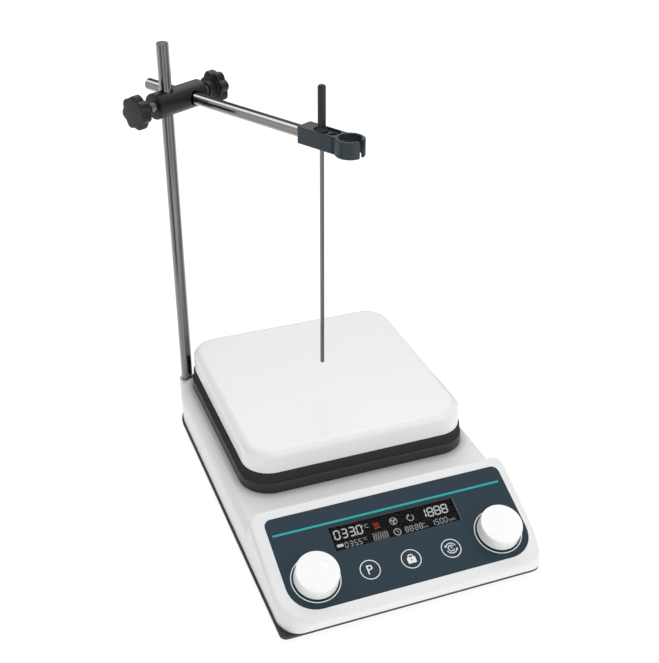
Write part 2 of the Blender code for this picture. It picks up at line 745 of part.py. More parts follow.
def cut_socket_holes(shell):
    depth = 2 * WALL + CUT_OVERRUN
    inlet = block(
        INLET_WIDTH - 2 * INLET_BODY_MARGIN + 2 * SEAT_GAP, depth,
        INLET_HEIGHT - 2 * INLET_BODY_HEIGHT_MARGIN + 2 * SEAT_GAP,
    )
    bezel = block(BEZEL_WIDTH - 2 * BEZEL_LIP + 2 * SEAT_GAP, depth, BEZEL_HEIGHT - 2 * BEZEL_LIP + 2 * SEAT_GAP)
    inlet_base = INLET_HEIGHT / 2 - INLET_BODY_HEIGHT_MARGIN + SEAT_GAP
    bezel_base = BEZEL_HEIGHT / 2 - BEZEL_LIP + SEAT_GAP
    cut(
        shell,
        tool("inlet_hole", inlet, rear, (INLET_X, -WALL, -inlet_base)),
        tool("rocker_hole", bezel, rear, (ROCKER_X, -WALL, -bezel_base)),
    )
    for name, x, radius in (("fuse", FUSE_X, FUSE_BODY_RADIUS), ("jack", JACK_X, JACK_BODY_RADIUS)):
        hole = cylinder(radius + SEAT_GAP, depth, axis="Y")
        cut(shell, tool(name + "_hole", hole, rear, (x, -WALL - depth / 2, 0)))


def screw_post_places():
    side = BODY_WIDTH / 2 - SCREW_POST_INSET
    front = FASCIA_TOP_Y + SCREW_POST_FRONT
    back = BODY_REAR_Y - REAR_CORNER_RADIUS - SCREW_POST_REAR
    return [(sign * side, y) for sign in (-1, 1) for y in (front, back)]


def add_screw_posts(shell):
    length = DECK_Z - WALL / 2 - HOUSING_BASE_Z
    for number, (x, y) in enumerate(screw_post_places(), 1):
        post = cylinder(SCREW_POST_RADIUS, length - TRAY_STEP - SEAT_GAP)
        bore = cylinder(SCREW_BORE_RADIUS, SCREW_BORE_DEPTH + CUT_OVERRUN, PIN_STEPS)
        base = HOUSING_BASE_Z + TRAY_STEP + SEAT_GAP
        fuse(shell, tool(f"screw_post_{number}", post, bench, (x, y, base)))
        cut(shell, tool(f"screw_bore_{number}", bore, bench, (x, y, base - CUT_OVERRUN)))


def add_ear(shell):
    taper_top = HOUSING_BASE_Z + EAR_TAPER_HEIGHT
    profile = [
        (0, EAR_TOP_Z),
        (EAR_RADIUS, EAR_TOP_Z),
        (EAR_RADIUS, taper_top),
        (EAR_TIP_RADIUS, HOUSING_BASE_Z),
        (0, HOUSING_BASE_Z),
    ]
    fuse(shell, tool("rod_ear", turned(profile), bench, (ROD_X, ROD_Y, 0)))
    depth = INSERT_LENGTH + SEAT_GAP
    bore = cylinder(SPIGOT_RADIUS + TURN_GAP + INSERT_WALL + SEAT_GAP, depth + CUT_OVERRUN)
    cut(shell, tool("insert_bore", bore, bench, (ROD_X, ROD_Y, EAR_TOP_Z - depth)))


def make_base_tray():
    length = BODY_REAR_Y - TRAY_FRONT_Y + 2 * TRAY_PROUD
    middle = (BODY_REAR_Y + TRAY_FRONT_Y) / 2
    front = FASCIA_FRONT_RADIUS + CONSOLE_FRONT_MARGIN
    corner = REAR_CORNER_RADIUS
    outline = block(
        BODY_WIDTH + 2 * TRAY_PROUD, length, TRAY_THICKNESS,
        (TRAY_FRONT_RADIUS, TRAY_FRONT_RADIUS, corner, corner),
    )
    tray = piece("base_tray", outline, DARK_TRAY, bench, (0, middle, FOOT_HEIGHT))
    inset = WALL + 2 * SEAT_GAP
    step_radii = (front, front, corner - inset, corner - inset)
    reach = front_y_at(TRAY_FLOOR_Z) - TRAY_FRONT_Y + inset
    step = block(
        BODY_WIDTH - 2 * inset, BODY_REAR_Y - TRAY_FRONT_Y - inset - reach - WALL,
        TRAY_THICKNESS / 2 + TRAY_STEP, step_radii,
    )
    step_middle = (BODY_REAR_Y - inset + TRAY_FRONT_Y + reach + WALL) / 2
    fuse(tray, tool("tray_step", step, bench, (0, step_middle, FOOT_HEIGHT + TRAY_THICKNESS / 2)))
    add_tray_posts(tray)
    seat_profile = [
        (0, TRAY_FLOOR_Z + CUT_OVERRUN),
        (SCREW_HOLE_RADIUS, TRAY_FLOOR_Z + CUT_OVERRUN),
        (SCREW_HOLE_RADIUS, FOOT_HEIGHT + SCREW_HEAD_DEPTH),
        (SCREW_HEAD_RADIUS, FOOT_HEIGHT + SCREW_HEAD_DEPTH),
        (SCREW_HEAD_RADIUS, FOOT_HEIGHT - CUT_OVERRUN),
        (0, FOOT_HEIGHT - CUT_OVERRUN),
    ]
    for number, (x, y) in enumerate(screw_post_places(), 1):
        cut(tray, tool(f"screw_seat_{number}", turned(seat_profile, PIN_STEPS), bench, (x, y, 0)))
    for number, (x, y) in enumerate(foot_places(), 1):
        socket = cylinder(FOOT_STEM_RADIUS + SEAT_GAP, FOOT_STEM_LENGTH + CUT_OVERRUN, SMALL_STEPS)
        cut(tray, tool(f"foot_socket_{number}", socket, bench, (x, y, FOOT_HEIGHT - CUT_OVERRUN)))
    for number in range(VENT_COUNT):
        offset = (number - (VENT_COUNT - 1) / 2) * VENT_PITCH
        vent = slab(stadium(VENT_LENGTH, VENT_WIDTH, PIN_STEPS), TRAY_FLOOR_Z)
        cut(tray, tool(f"vent_{number + 1}", vent, bench, (power_board_x(), offset, FOOT_HEIGHT / 2)))


def power_board_x():
    return BODY_WIDTH / 2 - WALL - POWER_BOARD_SIDE_GAP - POWER_BOARD_WIDTH / 2


def power_post_places():
    x = power_board_x()
    side = POWER_BOARD_WIDTH / 2 - POWER_POST_INSET
    end = POWER_BOARD_LENGTH / 2 - POWER_POST_INSET
    return [(x + sx * side, sy * end) for sx in (-1, 1) for sy in (-1, 1)]


def bracket_post_places():
    reach = BRACKET_WIDTH / 2 - BRACKET_CORNER_RADIUS
    return [(sx * reach, sy * reach) for sx in (-1, 1) for sy in (-1, 1)]


def add_tray_posts(tray):
    posts = [(place, POWER_POST_RADIUS, POWER_BOARD_LIFT) for place in power_post_places()]
    posts += [(place, BRACKET_POST_RADIUS, BRACKET_LIFT) for place in bracket_post_places()]
    for number, ((x, y), radius, lift) in enumerate(posts, 1):
        post = cylinder(radius, lift + TRAY_STEP, PIN_STEPS)
        fuse(tray, tool(f"tray_post_{number}", post, bench, (x, y, TRAY_FLOOR_Z - TRAY_STEP)))


def foot_places():
    side = BODY_WIDTH / 2 - FOOT_INSET
    ends = (TRAY_FRONT_Y + FOOT_INSET, BODY_REAR_Y - FOOT_INSET)
    return [(sx * side, y) for y in ends for sx in (-1, 1)]


def make_feet():
    pad_top = FOOT_HEIGHT - SEAT_GAP
    profile = [
        (0, FOOT_HEIGHT + FOOT_STEM_LENGTH - SEAT_GAP),
        (FOOT_STEM_RADIUS, FOOT_HEIGHT + FOOT_STEM_LENGTH - SEAT_GAP),
        (FOOT_STEM_RADIUS, pad_top),
        (FOOT_RADIUS, pad_top),
        (FOOT_RADIUS, FOOT_CHAMFER),
        (FOOT_RADIUS - FOOT_CHAMFER, 0),
        (0, 0),
    ]
    for number, (x, y) in enumerate(foot_places(), 1):
        piece(f"foot_{number}", turned(profile), RUBBER, bench, (x, y, 0))


def make_heating_head():
    """The plate, its insulating frame, the heater under it, the heat shield and the pillars."""
    corners = (PLATE_CORNER_RADIUS,) * 4
    inner_corners = (PLATE_CORNER_RADIUS - PLATE_SKIRT_THICKNESS,) * 4
    plate = piece(
        "hot_plate", block(PLATE_WIDTH, PLATE_WIDTH, PLATE_HEIGHT, corners, PLATE_EDGE_RADIUS),
        WHITE_ENAMEL, bench, (0, 0, PLATE_Z),
    )
    inner_width = PLATE_WIDTH - 2 * PLATE_SKIRT_THICKNESS
    hollow = block(inner_width, inner_width, PLATE_HEIGHT - PLATE_TOP_THICKNESS + CUT_OVERRUN, inner_corners)
    cut(plate, tool("plate_hollow", hollow, bench, (0, 0, PLATE_Z - CUT_OVERRUN)))

    width = PLATE_WIDTH + 2 * BAND_PROUD
    outer = (PLATE_CORNER_RADIUS + BAND_PROUD,) * 4
    inner = (PLATE_CORNER_RADIUS + BAND_PROUD - BAND_WALL,) * 4
    band = piece(
        "insulation_frame", block(width, width, BAND_HEIGHT, outer, BAND_EDGE_RADIUS),
        BLACK_PLASTIC, bench, (0, 0, BAND_Z),
    )
    flange_width = PLATE_WIDTH + 2 * BAND_FLANGE_PROUD
    flange = block(
        flange_width, flange_width, BAND_FLANGE_HEIGHT, (PLATE_CORNER_RADIUS + BAND_FLANGE_PROUD,) * 4,
        BAND_EDGE_RADIUS,
    )
    fuse(band, tool("band_flange", flange, bench, (0, 0, BAND_Z)))
    hole = block(width - 2 * BAND_WALL, width - 2 * BAND_WALL, BAND_HEIGHT + 2 * CUT_OVERRUN, inner)
    cut(band, tool("band_hole", hole, bench, (0, 0, BAND_Z - CUT_OVERRUN)))

    piece(
        "heater_disc", cylinder(HEATER_RADIUS, HEATER_THICKNESS, ROUND_STEPS), MICA, bench, (0, 0, HEATER_Z)
    )
    shield_width = PLATE_WIDTH - 2 * (PLATE_SKIRT_THICKNESS + SHIELD_MARGIN)
    shield = piece(
        "heat_shield", block(shield_width, shield_width, SHIELD_THICKNESS, (SHIELD_CORNER_RADIUS,) * 4),
        ZINC, bench, (0, 0, SHIELD_Z),
    )
    shoulder = SHIELD_Z - SEAT_GAP
    top = PLATE_UNDERSIDE_Z - SEAT_GAP
    base = TRAY_FLOOR_Z + SEAT_GAP
    profile = [
        (0, top),
        (PILLAR_NECK_RADIUS, top),
        (PILLAR_NECK_RADIUS, shoulder),
        (PILLAR_RADIUS, shoulder),
        (PILLAR_RADIUS, base),
        (0, base),
    ]
    reach = PILLAR_REACH
    for number, (x, y) in enumerate(((-reach, -reach), (reach, -reach), (reach, reach), (-reach, reach)), 1):
        hole = cylinder(PILLAR_NECK_RADIUS + SEAT_GAP, SHIELD_THICKNESS + 2 * CUT_OVERRUN)
        cut(shield, tool(f"pillar_hole_{number}", hole, bench, (x, y, SHIELD_Z - CUT_OVERRUN)))
        piece(f"plate_pillar_{number}", turned(profile), ZINC, bench, (x, y, 0))


def make_stirrer_drive():
    """The motor on its bracket, and the magnet carrier that it turns."""
    bracket_z = TRAY_FLOOR_Z + BRACKET_LIFT + SEAT_GAP
    bracket = piece(
        "motor_bracket",
        block(BRACKET_WIDTH, BRACKET_WIDTH, BRACKET_THICKNESS, (BRACKET_CORNER_RADIUS,) * 4),
        ZINC, bench, (0, 0, bracket_z),
    )
    bore = cylinder(BRACKET_BORE_RADIUS, BRACKET_THICKNESS + 2 * CUT_OVERRUN)
    cut(bracket, tool("bracket_bore", bore, bench, (0, 0, bracket_z - CUT_OVERRUN)))

    top = MOTOR_Z + MOTOR_HEIGHT
    neck_top = top + MOTOR_NECK_HEIGHT
    bore_radius = ROTOR_SHAFT_RADIUS + TURN_GAP
    bore_floor = ROTOR_Z - ROTOR_SHAFT_LENGTH - CUT_OVERRUN
    soft = MOTOR_EDGE_RADIUS
    profile = [
        (0, bore_floor),
        (bore_radius, bore_floor),
        (bore_radius, neck_top),
        (MOTOR_NECK_RADIUS, neck_top),
        (MOTOR_NECK_RADIUS, top),
        (MOTOR_RADIUS - soft, top),
        (MOTOR_RADIUS, top - soft),
        (MOTOR_RADIUS, MOTOR_Z + soft),
        (MOTOR_RADIUS - soft, MOTOR_Z),
        (0, MOTOR_Z),
    ]
    piece("motor_body", turned(profile, ROUND_STEPS), ZINC, bench)

    bar = slab(stadium(ROTOR_BAR_LENGTH, ROTOR_BAR_WIDTH), ROTOR_BAR_THICKNESS)
    rotor = piece("magnet_rotor", bar, ZINC, bench, (0, 0, ROTOR_Z + ROTOR_HUB_HEIGHT))
    hub = cylinder(ROTOR_HUB_RADIUS, ROTOR_HUB_HEIGHT + BOSS_OVERLAP)
    shaft = cylinder(ROTOR_SHAFT_RADIUS, ROTOR_SHAFT_LENGTH + BOSS_OVERLAP, PIN_STEPS)
    fuse(
        rotor,
        tool("rotor_hub", hub, bench, (0, 0, ROTOR_Z)),
        tool("rotor_shaft", shaft, bench, (0, 0, ROTOR_Z - ROTOR_SHAFT_LENGTH)),
    )
    bar_top = ROTOR_Z + ROTOR_HUB_HEIGHT + ROTOR_BAR_THICKNESS
    reach = (ROTOR_BAR_LENGTH - ROTOR_BAR_WIDTH) / 2
    for number, side in enumerate((-1, 1), 1):
        seat = cylinder(MAGNET_RADIUS + SEAT_GAP, MAGNET_SEAT_DEPTH + CUT_OVERRUN)
        cut(rotor, tool(f"magnet_seat_{number}", seat, bench, (side * reach, 0, bar_top - MAGNET_SEAT_DEPTH)))
        piece(
            f"drive_magnet_{number}", cylinder(MAGNET_RADIUS, MAGNET_HEIGHT), MAGNET, bench,
            (side * reach, 0, bar_top - MAGNET_SEAT_DEPTH + SEAT_GAP),
        )


def make_power_board():
    x = power_board_x()
    base = TRAY_FLOOR_Z + POWER_BOARD_LIFT + SEAT_GAP
    board = piece(
        "power_board", block(POWER_BOARD_WIDTH, POWER_BOARD_LENGTH, BOARD_THICKNESS), BOARD_GREEN,
        bench, (x, 0, base),
    )
    seat = base + BOARD_THICKNESS / 2
    transformer = block(
        TRANSFORMER_WIDTH, TRANSFORMER_LENGTH, TRANSFORMER_HEIGHT, (TRANSFORMER_EDGE_RADIUS,) * 4,
        TRANSFORMER_EDGE_RADIUS, corner_steps=1,
    )
    transformer_y = POWER_BOARD_LENGTH / 2 - POWER_POST_INSET - TRANSFORMER_LENGTH / 2
    fuse(board, tool("transformer", transformer, bench, (x, transformer_y, seat)))
    spacing = POWER_BOARD_LENGTH * CAPACITOR_SPACING_SHARE
    for number in range(2):
        can = cylinder(CAPACITOR_RADIUS, CAPACITOR_HEIGHT, chamfer=TRANSFORMER_EDGE_RADIUS / 2)
        y = transformer_y - TRANSFORMER_LENGTH / 2 - (number + 1) * spacing + CAPACITOR_RADIUS
        fuse(board, tool(f"capacitor_{number + 1}", can, bench, (x, y, seat)))


def make_fascia():
    radii = (FASCIA_FRONT_RADIUS, FASCIA_FRONT_RADIUS, FASCIA_REAR_RADIUS, FASCIA_REAR_RADIUS)
    sheet = block(
        FASCIA_WIDTH - 2 * SEAT_GAP, FASCIA_LENGTH - 2 * SEAT_GAP, FASCIA_THICKNESS,
        tuple(radius - SEAT_GAP for radius in radii),
    )
    fascia = piece(
        "control_fascia", sheet, FASCIA_BLUE, panel, (0, -FASCIA_LENGTH / 2, -FASCIA_THICKNESS)
    )
    through = FASCIA_THICKNESS + 2 * CUT_OVERRUN
    under = -FASCIA_THICKNESS - CUT_OVERRUN
    window = block(DISPLAY_WIDTH, DISPLAY_HEIGHT, through)
    cut(fascia, tool("display_opening", window, panel, (-DISPLAY_SHIFT, -DISPLAY_DROP, under)))
    for number, x in enumerate((-KEY_SPACING, 0, KEY_SPACING), 1):
        hole = cylinder(KEY_RADIUS + SEAT_GAP, through)
        cut(fascia, tool(f"key_hole_{number}", hole, panel, (x, -KEY_DROP, under)))
    for number, side in enumerate((-1, 1), 1):
        hole = cylinder(bushing_radius() + SEAT_GAP, through)
        cut(fascia, tool(f"bushing_hole_{number}", hole, panel, (side * DIAL_SPACING / 2, -DIAL_DROP, under)))
    post_length = BOARD_DEPTH - FASCIA_THICKNESS - SEAT_GAP + BOSS_OVERLAP
    for number, (x, y) in enumerate(board_post_places(), 1):
        post = cylinder(FASCIA_POST_RADIUS, post_length, PIN_STEPS)
        fuse(fascia, tool(f"fascia_post_{number}", post, panel, (x, y, -BOARD_DEPTH + SEAT_GAP)))


def bushing_radius():
    return SHAFT_RADIUS + TURN_GAP + BUSHING_WALL


def board_size():
    return FASCIA_WIDTH - 2 * BOARD_SIDE_MARGIN, FASCIA_LENGTH - 2 * BOARD_END_MARGIN


def board_post_places():
    width, length = board_size()
    side = width / 2 - FASCIA_POST_INSET
    ends = (BOARD_END_MARGIN + FASCIA_POST_INSET, BOARD_END_MARGIN + length / 2)
    return [(sign * side, -end) for sign in (-1, 1) for end in ends]


def make_display_and_board():
    width, length = board_size()
    piece(
        "control_board", block(width, length, BOARD_THICKNESS), BOARD_GREEN, panel,
        (0, -FASCIA_LENGTH / 2, -BOARD_DEPTH - BOARD_THICKNESS),
    )
    module_top = FASCIA_THICKNESS + SEAT_GAP
    module = block(
        DISPLAY_WIDTH + 2 * DISPLAY_FRAME, DISPLAY_HEIGHT + 2 * DISPLAY_FRAME,
        BOARD_DEPTH - SEAT_GAP - module_top,
    )
    piece(
        "display_module", module, DISPLAY_BLACK, panel, (-DISPLAY_SHIFT, -DISPLAY_DROP, -BOARD_DEPTH + SEAT_GAP)
    )
    window = block(
        DISPLAY_WIDTH - 2 * SEAT_GAP, DISPLAY_HEIGHT - 2 * SEAT_GAP, FASCIA_THICKNESS - WINDOW_SUNK
    )
    piece("display_window", window, DISPLAY_BLACK, panel, (-DISPLAY_SHIFT, -DISPLAY_DROP, -FASCIA_THICKNESS))


def make_keys():
    flange_top = -FASCIA_THICKNESS - SEAT_GAP
    switch_top = -BOARD_DEPTH + SEAT_GAP + SWITCH_HEIGHT
    stem_end = switch_top + KEY_TRAVEL + KEY_SPARE
    profile = [
        (0, KEY_PROUD),
        (KEY_RADIUS, KEY_PROUD),
        (KEY_RADIUS, flange_top),
        (KEY_RADIUS + KEY_FLANGE_WIDTH, flange_top),
        (KEY_RADIUS + KEY_FLANGE_WIDTH, flange_top - KEY_FLANGE_THICKNESS),
        (KEY_STEM_RADIUS, flange_top - KEY_FLANGE_THICKNESS),
        (KEY_STEM_RADIUS, stem_end),
        (0, stem_end),
    ]
    for name, x in (("program", -KEY_SPACING), ("lock", 0), ("timer", KEY_SPACING)):
        piece(name + "_key", turned(profile, ROUND_STEPS), FASCIA_BLUE, panel, (x, -KEY_DROP, 0))
        switch = block(SWITCH_WIDTH, SWITCH_WIDTH, SWITCH_HEIGHT)
        piece(name + "_switch", switch, BLACK_PLASTIC, panel, (x, -KEY_DROP, -BOARD_DEPTH + SEAT_GAP))


def dial_profile():
    """A dial with a soft top edge, hollow underneath round the hub that takes the shaft."""
    top_radius = DIAL_RADIUS - DIAL_TAPER
    soft = DIAL_EDGE_RADIUS
    edge = arc((top_radius - soft, DIAL_TOP - soft), soft, 90, 0, EDGE_STEPS)
    bore = SHAFT_RADIUS + SEAT_GAP
    bore_top = DIAL_TOP - SHAFT_CAP
    hub_end = DIAL_LIFT + DIAL_HUB_REACH
    hollow_top = DIAL_TOP - DIAL_WALL
    return [
        (0, DIAL_TOP),
        *edge,
        (DIAL_RADIUS, DIAL_LIFT),
        (DIAL_RADIUS - DIAL_WALL, DIAL_LIFT),
        (DIAL_RADIUS - DIAL_WALL, hollow_top),
        (DIAL_HUB_RADIUS, hollow_top),
        (DIAL_HUB_RADIUS, hub_end),
        (bore, hub_end),
        (bore, bore_top),
        (0, bore_top),
    ]


def make_dials():
    floor = -BOARD_DEPTH + SEAT_GAP
    body_height = BOARD_DEPTH - SEAT_GAP - FASCIA_THICKNESS - ENCODER_SUNK
    detent_z = floor + DETENT_LIFT
    shaft_end = floor + SHAFT_TAIL
    shaft_length = DIAL_TOP - SHAFT_CAP - SEAT_GAP - shaft_end
    bore_radius = SHAFT_RADIUS + TURN_GAP
    for name, side in (("left", -1), ("right", 1)):
        place = (side * DIAL_SPACING / 2, -DIAL_DROP)
        piece(name + "_knob", turned(dial_profile(), ROUND_STEPS), WHITE_PLASTIC, panel, (*place, 0))
        piece(name + "_shaft", cylinder(SHAFT_RADIUS, shaft_length), ZINC, panel, (*place, shaft_end))
        detent = [
            (DETENT_RADIUS, detent_z + DETENT_THICKNESS),
            (DETENT_RADIUS, detent_z),
            (bore_radius, detent_z),
            (bore_radius, detent_z + DETENT_THICKNESS),
        ]
        piece(name + "_encoder_rotor", turned(detent, SMALL_STEPS, ring=True), BRASS, panel, (*place, 0))
        body = piece(
            name + "_encoder_body", block(ENCODER_WIDTH, ENCODER_WIDTH, body_height), ZINC, panel,
            (*place, floor),
        )
        bushing = cylinder(bushing_radius(), BOARD_DEPTH - SEAT_GAP - body_height + BOSS_OVERLAP)
        room = cylinder(
            DETENT_RADIUS + TURN_GAP, DETENT_LIFT + DETENT_THICKNESS + DETENT_ROOM + CUT_OVERRUN
        )
        bore = cylinder(bore_radius, BOARD_DEPTH + 2 * CUT_OVERRUN)
        fuse(body, tool(name + "_bushing", bushing, panel, (*place, floor + body_height - BOSS_OVERLAP)))
        cut(
            body,
            tool(name + "_detent_room", room, panel, (*place, floor - CUT_OVERRUN)),
            tool(name + "_shaft_bore", bore, panel, (*place, floor - CUT_OVERRUN)),
        )


def make_mains_inlet():
    body_width = INLET_WIDTH - 2 * INLET_BODY_MARGIN
    body_height = INLET_HEIGHT - 2 * INLET_BODY_HEIGHT_MARGIN
    flange = block(INLET_WIDTH, INLET_HEIGHT, FLANGE_THICKNESS, (INLET_CORNER_RADIUS,) * 4, corner_steps=2)
    # The flange's thickness runs along Y, so its block is turned to face the rear
    turn = (-math.pi / 2, 0, 0)
    inlet = piece("mains_inlet", flange, BLACK_PLASTIC, rear, (INLET_X, SEAT_GAP, 0), turn)
    depth = INLET_DEPTH + SEAT_GAP + BOSS_OVERLAP
    body = block(body_width, body_height, depth)
    fuse(inlet, tool("inlet_body", body, rear, (INLET_X, -INLET_DEPTH, 0), turn))
    cavity = block(
        body_width - 2 * INLET_WALL, body_height - 2 * INLET_WALL,
        INLET_DEPTH - INLET_FLOOR + FLANGE_THICKNESS + CUT_OVERRUN,
    )
    cut(inlet, tool("inlet_cavity", cavity, rear, (INLET_X, -INLET_DEPTH + INLET_FLOOR, 0), turn))
    pin_length = INLET_DEPTH + PIN_TAIL - PIN_SUNK
    for name, x, z in (("live", 1, -1), ("neutral", -1, -1), ("earth", 0, 1)):
        place = (INLET_X + x * PIN_SPACING, -INLET_DEPTH - PIN_TAIL, z * PIN_OFFSET)
        slot = block(
            PIN_THICKNESS + 2 * SEAT_GAP, PIN_WIDTH + 2 * SEAT_GAP, INLET_FLOOR + PIN_TAIL + CUT_OVERRUN
        )
        cut(inlet, tool(name + "_pin_slot", slot, rear, place, turn))
        piece(name + "_pin", block(PIN_THICKNESS, PIN_WIDTH, pin_length), BRASS, rear, place, turn)


def make_rocker():
    turn = (-math.pi / 2, 0, 0)
    flange = block(BEZEL_WIDTH, BEZEL_HEIGHT, FLANGE_THICKNESS, (BEZEL_CORNER_RADIUS,) * 4, corner_steps=2)
    bezel = piece("rocker_bezel", flange, BLACK_PLASTIC, rear, (ROCKER_X, SEAT_GAP, 0), turn)
    body_width = BEZEL_WIDTH - 2 * BEZEL_LIP
    body_height = BEZEL_HEIGHT - 2 * BEZEL_LIP
    body = block(body_width, body_height, BEZEL_DEPTH + SEAT_GAP + BOSS_OVERLAP)
    fuse(bezel, tool("bezel_body", body, rear, (ROCKER_X, -BEZEL_DEPTH, 0), turn))
    room_width = body_width - 2 * BEZEL_WALL
    room_height = body_height - 2 * BEZEL_WALL
    room = block(room_width, room_height, BEZEL_DEPTH - BEZEL_FLOOR + FLANGE_THICKNESS + CUT_OVERRUN)
    cut(bezel, tool("bezel_room", room, rear, (ROCKER_X, -BEZEL_DEPTH + BEZEL_FLOOR, 0), turn))

    radius = room_height / 2 - TURN_GAP
    face = math.degrees(ROCKER_FACE_ANGLE)
    outline = [(ROCKER_NOTCH, 0)]
    outline += arc((0, 0), radius, face, 180 - face, 4)
    outline += arc((0, 0), radius, 180 + face, 360 - face, 4)
    width = room_width - 2 * SEAT_GAP
    rocker = slab([(-z, y) for y, z in outline], width)
    # The slab's thickness runs along X, and its outline lies in the plane of Y and Z
    lay = Matrix.Rotation(math.pi / 2, 4, "Y")
    rocker.transform(lay @ Matrix.Translation((0, 0, -width / 2)))
    piece(
        "power_rocker", rocker, BLACK_PLASTIC, rear, (ROCKER_X, FLANGE_THICKNESS + SEAT_GAP, 0),
        (ROCKER_TILT, 0, 0),
    )


def make_fuse_and_jack():
    turn = (-math.pi / 2, 0, 0)
    front = SEAT_GAP + FLANGE_THICKNESS
    holder = [
        (FUSE_FLANGE_RADIUS, front),
        (FUSE_FLANGE_RADIUS, SEAT_GAP),
        (FUSE_BODY_RADIUS, SEAT_GAP),
        (FUSE_BODY_RADIUS, -FUSE_DEPTH),
        (0, -FUSE_DEPTH),
        (0, FUSE_FLOOR - FUSE_DEPTH),
        (FUSE_BORE_RADIUS, FUSE_FLOOR - FUSE_DEPTH),
        (FUSE_BORE_RADIUS, front),
    ]
    piece("fuse_holder", turned(holder, ring=True), BLACK_PLASTIC, rear, (FUSE_X, 0, 0), turn)
    seat = front + SEAT_GAP
    plug_end = seat - FUSE_CAP_PLUG
    plug_radius = FUSE_BORE_RADIUS - TURN_GAP
    grip_radius = FUSE_RADIUS + SEAT_GAP
    soft = FUSE_CAP_SLOT_DEPTH
    cap = [
        (0, seat + FUSE_CAP_THICKNESS),
        (FUSE_CAP_RADIUS - soft, seat + FUSE_CAP_THICKNESS),
        (FUSE_CAP_RADIUS, seat + FUSE_CAP_THICKNESS - soft),
        (FUSE_CAP_RADIUS, seat),
        (plug_radius, seat),
        (plug_radius, plug_end),
        (grip_radius, plug_end),
        (grip_radius, plug_end + FUSE_GRIP),
        (0, plug_end + FUSE_GRIP),
    ]
    fuse_cap = piece("fuse_cap", turned(cap), BLACK_PLASTIC, rear, (FUSE_X, 0, 0), turn)
    slot = block(FUSE_CAP_SLOT_LENGTH, FUSE_CAP_SLOT_WIDTH, FUSE_CAP_SLOT_DEPTH + CUT_OVERRUN)
    slot_base = seat + FUSE_CAP_THICKNESS - FUSE_CAP_SLOT_DEPTH
    cut(fuse_cap, tool("fuse_cap_slot", slot, rear, (FUSE_X, slot_base, 0), turn))
    fuse_end = plug_end + FUSE_GRIP - SEAT_GAP
    link = cylinder(FUSE_RADIUS, FUSE_LENGTH, PIN_STEPS)
    piece("fuse", link, GLASS, rear, (FUSE_X, fuse_end - FUSE_LENGTH, 0), turn)

    jack = [
        (JACK_FLANGE_RADIUS, front),
        (JACK_FLANGE_RADIUS, SEAT_GAP),
        (JACK_BODY_RADIUS, SEAT_GAP),
        (JACK_BODY_RADIUS, -JACK_DEPTH),
        (0, -JACK_DEPTH),
        (0, front - JACK_BORE_DEPTH),
        (JACK_BORE_RADIUS, front - JACK_BORE_DEPTH),
        (JACK_BORE_RADIUS, front),
    ]
    piece("probe_socket", turned(jack, ring=True), ZINC, rear, (JACK_X, 0, 0), turn)


def make_support_rod():
    insert_radius = SPIGOT_RADIUS + TURN_GAP + INSERT_WALL
    insert_bore = SPIGOT_RADIUS + TURN_GAP
    insert = [
        (insert_radius, EAR_TOP_Z),
        (insert_radius, EAR_TOP_Z - INSERT_LENGTH),
        (insert_bore, EAR_TOP_Z - INSERT_LENGTH),
        (insert_bore, EAR_TOP_Z),
    ]
    piece("rod_insert", turned(insert, ring=True), BRASS, bench, (ROD_X, ROD_Y, 0))
    shoulder = EAR_TOP_Z + SEAT_GAP
    rod = [
        (0, ROD_TOP_Z),
        (ROD_RADIUS - ROD_CHAMFER, ROD_TOP_Z),
        (ROD_RADIUS, ROD_TOP_Z - ROD_CHAMFER),
        (ROD_RADIUS, shoulder),
        (SPIGOT_RADIUS, shoulder),
        (SPIGOT_RADIUS, shoulder - SPIGOT_LENGTH),
        (0, shoulder - SPIGOT_LENGTH),
    ]
    piece("support_rod", turned(rod, ROUND_STEPS), STEEL, bench, (ROD_X, ROD_Y, 0))


def star_outline():
    """The clamp knob's outline: round lobes with shallow valleys between them."""
    count = CLAMP_LOBES * CLAMP_LOBE_STEPS
    points = []
    for i in range(count):
        angle = math.tau * i / count
        radius = CLAMP_STAR_RADIUS - CLAMP_LOBE_DEPTH * (1 - math.cos(CLAMP_LOBES * angle))
        points.append((radius * math.cos(angle), radius * math.sin(angle)))
    return points


def make_clamp(name, side, boss_end, tip):
    """A clamp knob and its screw, which reaches through the boss's end to the rod or bar that it holds."""
    turn = (0, side * math.pi / 2, 0)
    hub_start = boss_end + CLAMP_STANDOFF
    star_start = hub_start + CLAMP_HUB_LENGTH
    star = slab(star_outline(), CLAMP_STAR_THICKNESS, CLAMP_STAR_EDGE)
    knob = piece(name + "_clamp_knob", star, BLACK_PLASTIC, boss, (side * star_start, 0, 0), turn)
    hub = cylinder(CLAMP_HUB_RADIUS, CLAMP_HUB_LENGTH + BOSS_OVERLAP)
    fuse(knob, tool(name + "_clamp_hub", hub, boss, (side * hub_start, 0, 0), turn))
    screw_end = hub_start + CLAMP_SCREW_SUNK
    socket = cylinder(CLAMP_SCREW_RADIUS + SEAT_GAP, CLAMP_SCREW_SUNK + SEAT_GAP + CUT_OVERRUN, PIN_STEPS)
    cut(knob, tool(name + "_clamp_socket", socket, boss, (side * (hub_start - CUT_OVERRUN), 0, 0), turn))
    screw = cylinder(CLAMP_SCREW_RADIUS, screw_end - tip, PIN_STEPS)
    piece(name + "_clamp_screw", screw, STEEL, boss, (side * tip, 0, 0), turn)


